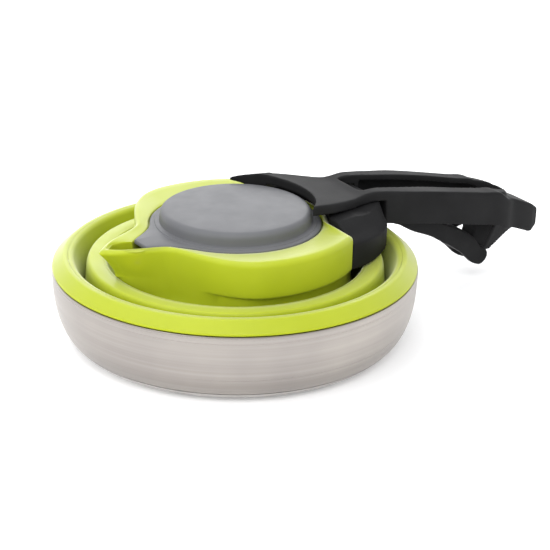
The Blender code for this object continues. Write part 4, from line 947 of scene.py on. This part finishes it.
# along, half width, top and depth, as shares of reach, deckHalf, deckRise and depth
gripShares = [
    (0.135, 1.000, 1.000, 1.000), (0.190, 0.975, 0.967, 1.000), (0.234, 0.888, 0.932, 1.000),
    (0.286, 0.753, 0.887, 1.000), (0.322, 0.644, 0.868, 1.000), (0.353, 0.617, 0.884, 1.000),
    (0.379, 0.634, 0.896, 1.000), (0.416, 0.654, 0.875, 1.000), (0.480, 0.690, 0.820, 1.003),
    (0.545, 0.712, 0.765, 1.010), (0.610, 0.700, 0.696, 1.025), (0.675, 0.671, 0.622, 1.045),
    (0.753, 0.638, 0.530, 1.055), (0.810, 0.615, 0.466, 1.075), (0.848, 0.550, 0.310, 1.000),
    (0.882, 0.441, 0.250, 0.970), (0.935, 0.373, 0.122, 0.955), (0.966, 0.322, 0.045, 0.930),
    (0.992, 0.260, -0.050, 0.660), (1.000, 0.190, -0.080, 0.440),
]
# along the slot and across it, as shares of its length and slotHalf
slotShares = [
    (0.000, 0.97), (0.012, 1.00), (0.060, 1.00), (0.560, 0.98), (0.670, 0.90),
    (0.780, 0.78), (0.890, 0.70), (0.965, 0.64), (0.988, 0.58), (1.000, 0.42),
]
# along and across as shares of deckHalf, and thickness as a share of deckWall
hornShares = [
    (0.58, 1.262, 0.40), (0.74, 1.190, 0.84), (0.90, 1.095, 1.30), (1.08, 1.005, 1.32), (1.25, 0.960, 1.34),
]
fixings = {
    "screwX": 0.056, "screwHalf": 0.012, "screwLength": 0.012, "screwSeat": 0.0032, "pilotTop": 0.0015,
    "hole": 0.0022, "headHole": 0.0039, "pinHole": 0.0023, "pinWall": 0.0012,
    "clampFrom": 0.0384, "clampTo": 0.0515, "clampHalf": 0.013, "clampZ": 0.0474,
}


def gripLine(x, column, scale):
    return smoothThrough([(row[0] * grip["reach"], row[column] * scale) for row in gripShares], x)


def gripHalf(x):
    return gripLine(x, 1, grip["deckHalf"])


def gripTop(x):
    return pot["seam"] + gripLine(x, 2, deckRise)


def gripBottom(x):
    return gripTop(x) - gripLine(x, 3, grip["depth"])


def sectionAt(x, half, high, low, edge=0.0016, foot=0.0005):
    # rounded section of a bar across X
    foot = min(foot, (high - low) / 4, half / 4)
    edge = min(edge, (high - low) / 3, half / 3)
    corners = [(-half, low, foot), (half, low, foot), (half, high, edge), (-half, high, edge)]
    return [(x, y, z) for y, z in eased(corners)]


def makeHorn():
    # runs from the deck round the lid
    rings = []
    tip, root = hornShares[0][0], hornShares[-1][0]
    acrossLine = [(row[0], row[1]) for row in hornShares]
    wallLine = [(row[0], row[2]) for row in hornShares]
    for share in spaced(0, 1, 16):
        along = root + (tip - root) * share
        x = along * grip["deckHalf"]
        y = smoothThrough(acrossLine, along) * grip["deckHalf"]
        thick = smoothThrough(wallLine, along) * grip["deckWall"]
        inner = (grip["crescent"] - 0.004) / math.hypot(x, y)
        high = grip["deckTop"] - grip["hornFall"] * share ** 2 - grip["sink"]
        rings.append([(x * inner, y * inner, high - thick), (x, y, high - thick),
                      (x, y, high - 0.0004), (x * inner, y * inner, high)])
    return lofted("horn", rings)


def makeRimEnd():
    # the deck's round end over the tail
    radius = grip["rimRadius"]
    middle = grip["rimEnd"] - radius
    outline = [(middle + radius * max(math.cos(turn), 0) ** grip["rimSquareness"], radius * math.sin(turn))
               for turn in spaced(-math.pi / 2, math.pi / 2, 28)]
    base = pot["seam"] + grip["rimTop"]
    crown = [(x, y, base + (grip["rimEnd"] - x) * grip["rimRise"]) for x, y in outline]
    shoulder = [(x, y, z - grip["rimRound"]) for x, y, z in crown]
    inner = [(middle + (x - middle) * 0.94, y * 0.94, z) for x, y, z in crown]
    return lofted("rimEnd", [atLevel(outline, pot["seam"]), shoulder, inner])


def makeEar(side):
    front, back, tip, seam = grip["earFront"], grip["earBack"], grip["earTip"], pot["seam"]
    low = seam - grip["earLow"]
    outline = [(front - 1.4 * tip, low), (front, low), (back, gripBottom(back) + grip["sink"]),
               (back - tip, seam), (front + 2 * tip, seam), (front + tip, gripBottom(front))]
    insets = (grip["wall"] + 0.0001, 0.0003)
    return lofted("ear", [[(x, side * (gripHalf(x) - inset), z) for x, z in outline] for inset in insets])


def makeHollow():
    wall = grip["wall"]
    places = spaced(bracket["reach"] + wall, grip["reach"] - grip["tailBlock"], 30)
    return lofted("hollow", [sectionAt(x, gripHalf(x) - wall, gripTop(x) - wall, gripBottom(x) - 0.004)
                             for x in places])


def makeUnderDeck():
    # the room that the bracket fills below the deck
    below = 0.030
    back = bracket["reach"] + bracket["gap"]
    places = spaced(back * 14 / 48, back, 34)
    space = [(x, gripTop(x) - grip["deckWall"]) for x in places] + [(back, below), (places[0], below)]
    return sideSlab("underDeck", space, 0.034)


def makeSlot():
    front, back = grip["slotFront"], grip["slotBack"]
    half = [(front + (back - front) * share, grip["slotHalf"] * smoothThrough(slotShares, share))
            for share in spaced(0, 1, 60)]
    return slab("slotCut", half + mirrored(half), pot["seam"], grip["deckTop"] + 0.004)


def makeGrip():
    first, last = gripShares[0][0] * grip["reach"], grip["reach"]
    places = spaced(first, last, 84)[:82] + [last - 0.0009, last - 0.0004, last]
    shell = lofted("gripShell", [sectionAt(x, gripHalf(x), gripTop(x), gripBottom(x)) for x in places])
    cutWith(shell, makeRimEnd(), "UNION")
    cutWith(shell, makeHollow())
    for side in (-1, 1):
        cutWith(shell, makeEar(side), "UNION")
    cutWith(shell, makeUnderDeck())
    cutWith(shell, makeHorn(), "UNION")
    cutWith(shell, makeSlot())
    cutWith(shell, roundBar("crescentCut", grip["crescent"], (0, 0, 0.05), (0, 0, 0.09), 256))
    x, deck = fixings["screwX"], gripTop(fixings["screwX"])
    low, high = deck - fixings["screwLength"], deck - fixings["pilotTop"]
    for y in (-fixings["screwHalf"], fixings["screwHalf"]):
        cutWith(shell, roundBar("screwPilot", fixings["hole"], (x, y, low), (x, y, high)))
    x, z = lever["x"], lever["z"]
    pin = gripHalf(x) - fixings["pinWall"]
    cutWith(shell, roundBar("pinSeat", fixings["pinHole"], (x, -pin, z), (x, pin, z)))
    mould(shell, grip["voxel"])
    dress(shell, nylon, "top", "handle")


# Bracket between the silicone top and the grip

bracket = {
    "reach": 0.0782, "bottom": 0.0425, "foot": 0.056, "footFall": 0.0026, "gap": 0.0003,
    "deckSeat": (0.0344, 0.0804), "voxel": 0.0005,
}
# along the bracket and across it, as shares of its depth and its front's half width
bracketShares = [
    (0, 1), (0.23, 0.955), (0.43, 0.885), (0.61, 0.785),
    (0.81, 0.645), (0.93, 0.49), (0.985, 0.27), (1, 0.05),
]
# up from the foot, along and across, as shares
bracketRings = [(0, 1, 1), (0.10, 1, 0.975), (0.35, 0.998, 0.88), (0.70, 0.998, 0.78), (1, 0.996, 0.69)]


def bracketBlock():
    gap = bracket["gap"]
    front = top["seatFront"] + gap
    depth = bracket["reach"] - front
    wing = math.sqrt(top["radius"] ** 2 - front ** 2)
    places = [1 - (1 - share) ** 1.6 for share in spaced(0, 1, 40)]
    half = [(front + depth * place, wing * smoothThrough(bracketShares, place)) for place in places]
    plan = half + mirrored(half)
    fall = [bracket["foot"] - bracket["footFall"] * (x - front) / depth for x, y in plan]
    seat = gripTop(bracket["reach"]) - grip["deckWall"] + gap
    rings = [atLevel(plan, bracket["bottom"])]
    for share, along, across in bracketRings:
        rings.append([(front + (x - front) * along, y * across, z + (seat - z) * share)
                      for (x, y), z in zip(plan, fall)])
    return lofted("bracket", rings)


def makeBracket():
    gap = bracket["gap"]
    block = bracketBlock()
    cutWith(block, roundBar("collarCut", top["seatCollar"] + gap, (0, 0, 0.03), (0, 0, 0.09), 192))
    places = spaced(*bracket["deckSeat"], 24)
    above = [(x, gripTop(x) - grip["deckWall"] - gap) for x in places] + [(places[-1], 0.1), (places[0], 0.1)]
    cutWith(block, sideSlab("deckSeat", above, 0.062))
    near, far, z = fixings["clampFrom"], fixings["clampTo"], fixings["clampZ"]
    x, low, high = fixings["screwX"], 0.04, 0.08
    head = gripTop(x) - grip["deckWall"] + fixings["screwSeat"] - fixings["screwLength"]
    for side in (-1, 1):
        clamp, y = side * fixings["clampHalf"], side * fixings["screwHalf"]
        cutWith(block, roundBar("bracketScrewHole", fixings["hole"], (near, clamp, z), (far, clamp, z)))
        cutWith(block, roundBar("gripScrewHole", fixings["hole"], (x, y, low), (x, y, high)))
        cutWith(block, roundBar("gripScrewBore", fixings["headHole"], (x, y, low), (x, y, head)))
    mould(block, bracket["voxel"])
    dress(block, nylon, "top", "handle_bracket")


# Lever under the grip

lever = {
    "x": 0.090, "z": 0.0514, "hub": 0.0052, "reach": 0.061, "half": 0.0152, "arm": 0.0042,
    "endRound": 0.0054, "webFrom": 0.60, "webTo": 0.80, "catchHalf": 0.0054, "catchRound": 0.0012,
    "least": 0.0003, "voxel": 0.00045,
}
# along, half width, top and bottom, as shares of reach, half and reach, from the pin
leverShares = [
    (0.00, 1.00, 0.085, -0.085), (0.16, 0.98, 0.050, -0.180), (0.38, 0.93, -0.110, -0.277),
    (0.54, 0.82, -0.190, -0.375), (0.63, 0.74, -0.235, -0.425), (0.80, 0.66, -0.320, -0.545),
    (0.92, 0.62, -0.410, -0.655), (1.00, 0.60, -0.510, -0.692),
]
# along and up from the pin, as shares of reach
catchShares = [
    (0.95, -0.46), (0.975, -0.29), (1.08, -0.285), (1.175, -0.348),
    (1.19, -0.40), (1.05, -0.62), (0.92, -0.60),
]


def leverRings(rows):
    rings = []
    pinX, z, hub, end = lever["x"], lever["z"], lever["hub"], rows[-1]
    for turn in spaced(math.pi, math.pi * 10 / 18, 8):
        rise = max(hub * math.sin(turn), lever["least"])
        rings.append(sectionAt(pinX + hub * math.cos(turn), rows[0][1], z + rise, z - rise, 0.001, 0.001))
    for x in spaced(pinX, pinX + lever["reach"], 40)[1:]:
        width, high, low = [smoothThrough([(row[0], row[k]) for row in rows], x) for k in (1, 2, 3)]
        rings.append(sectionAt(x, width, high, low, 0.0012, 0.0012))
    middle, halfHigh = (end[2] + end[3]) / 2, (end[2] - end[3]) / 2
    for turn in spaced(math.pi / 2, 0, 6)[1:]:
        rise = max(halfHigh * math.sin(turn), lever["least"])
        x = end[0] + lever["endRound"] * math.cos(turn)
        rings.append(sectionAt(x, end[1], middle + rise, middle - rise, 0.001, 0.001))
    return rings


def makeLever():
    pinX, z, reach = lever["x"], lever["z"], lever["reach"]
    rows = [(pinX + a * reach, h * lever["half"], z + t * reach, z + b * reach) for a, h, t, b in leverShares]
    piece = lofted("gripLever", leverRings(rows))
    gapHalf = [(row[0], row[1] - lever["arm"]) for row in rows]
    beyond = 0.010
    gaps = ((pinX - beyond, pinX + lever["webFrom"] * reach),
            (pinX + lever["webTo"] * reach, rows[-1][0] + beyond))
    for start, stop in gaps:        # two arms, joined by a web
        line = [(x, smoothThrough(gapHalf, x)) for x in spaced(start, stop, 24)]
        cutWith(piece, slab("leverGap", line + mirrored(line), 0.0, 0.07))
    cutWith(piece, roundBar("leverBore", fixings["pinHole"], (pinX, -0.02, z), (pinX, 0.02, z)))
    catch = [(pinX + along * reach, z + up * reach, lever["catchRound"]) for along, up in catchShares]
    cutWith(piece, sideSlab("leverCatch", eased(catch, 3), lever["catchHalf"]), "UNION")
    mould(piece, lever["voxel"])
    dress(piece, nylon, "lever", "grip_lever")


makeGrip()
makeBracket()
makeLever()
print("grip, bracket and lever: made")


# Solids that stay, in their finishes

steelNodes = [
    "lid_screw_1", "lid_screw_2", "lid_screw_3", "bracket_screw_1", "bracket_screw_2",
    "handle_screw_1", "handle_screw_2", "lever_pin", "bracket_backplate", "rim_clamp_band",
]
otherNodes = {
    "lid_plug": lidGrey, "lid_seal": sealSilicone, "mouth_ring": nylon, "heat_spreader": spreaderMetal,
}
for name in steelNodes:
    nodes[name].material_slots[0].material = screwSteel
for name, finish in otherNodes.items():
    nodes[name].material_slots[0].material = finish
print("other solids: finished")


# Floor

floorSetup = {"size": 8, "below": 0.0002, "roughness": 0.6, "glow": 0.16}


def addFloor(setup):
    nothingSelected()
    bpy.ops.mesh.primitive_plane_add(size=setup["size"], location=(0, 0, -setup["below"]))
    floor = bpy.context.object
    floor.name = "studioFloor"
    material, tree, shader = newFinish("paleFloor")
    colourBy(tree, shader, speckle(tree, 2.0), (0.93, 0.93, 0.93), (0.95, 0.95, 0.95))
    setSockets(shader, {
        "Roughness": setup["roughness"], "Emission Color": (1, 1, 1, 1), "Emission Strength": setup["glow"],
    })
    floor.data.materials.append(material)


addFloor(floorSetup)
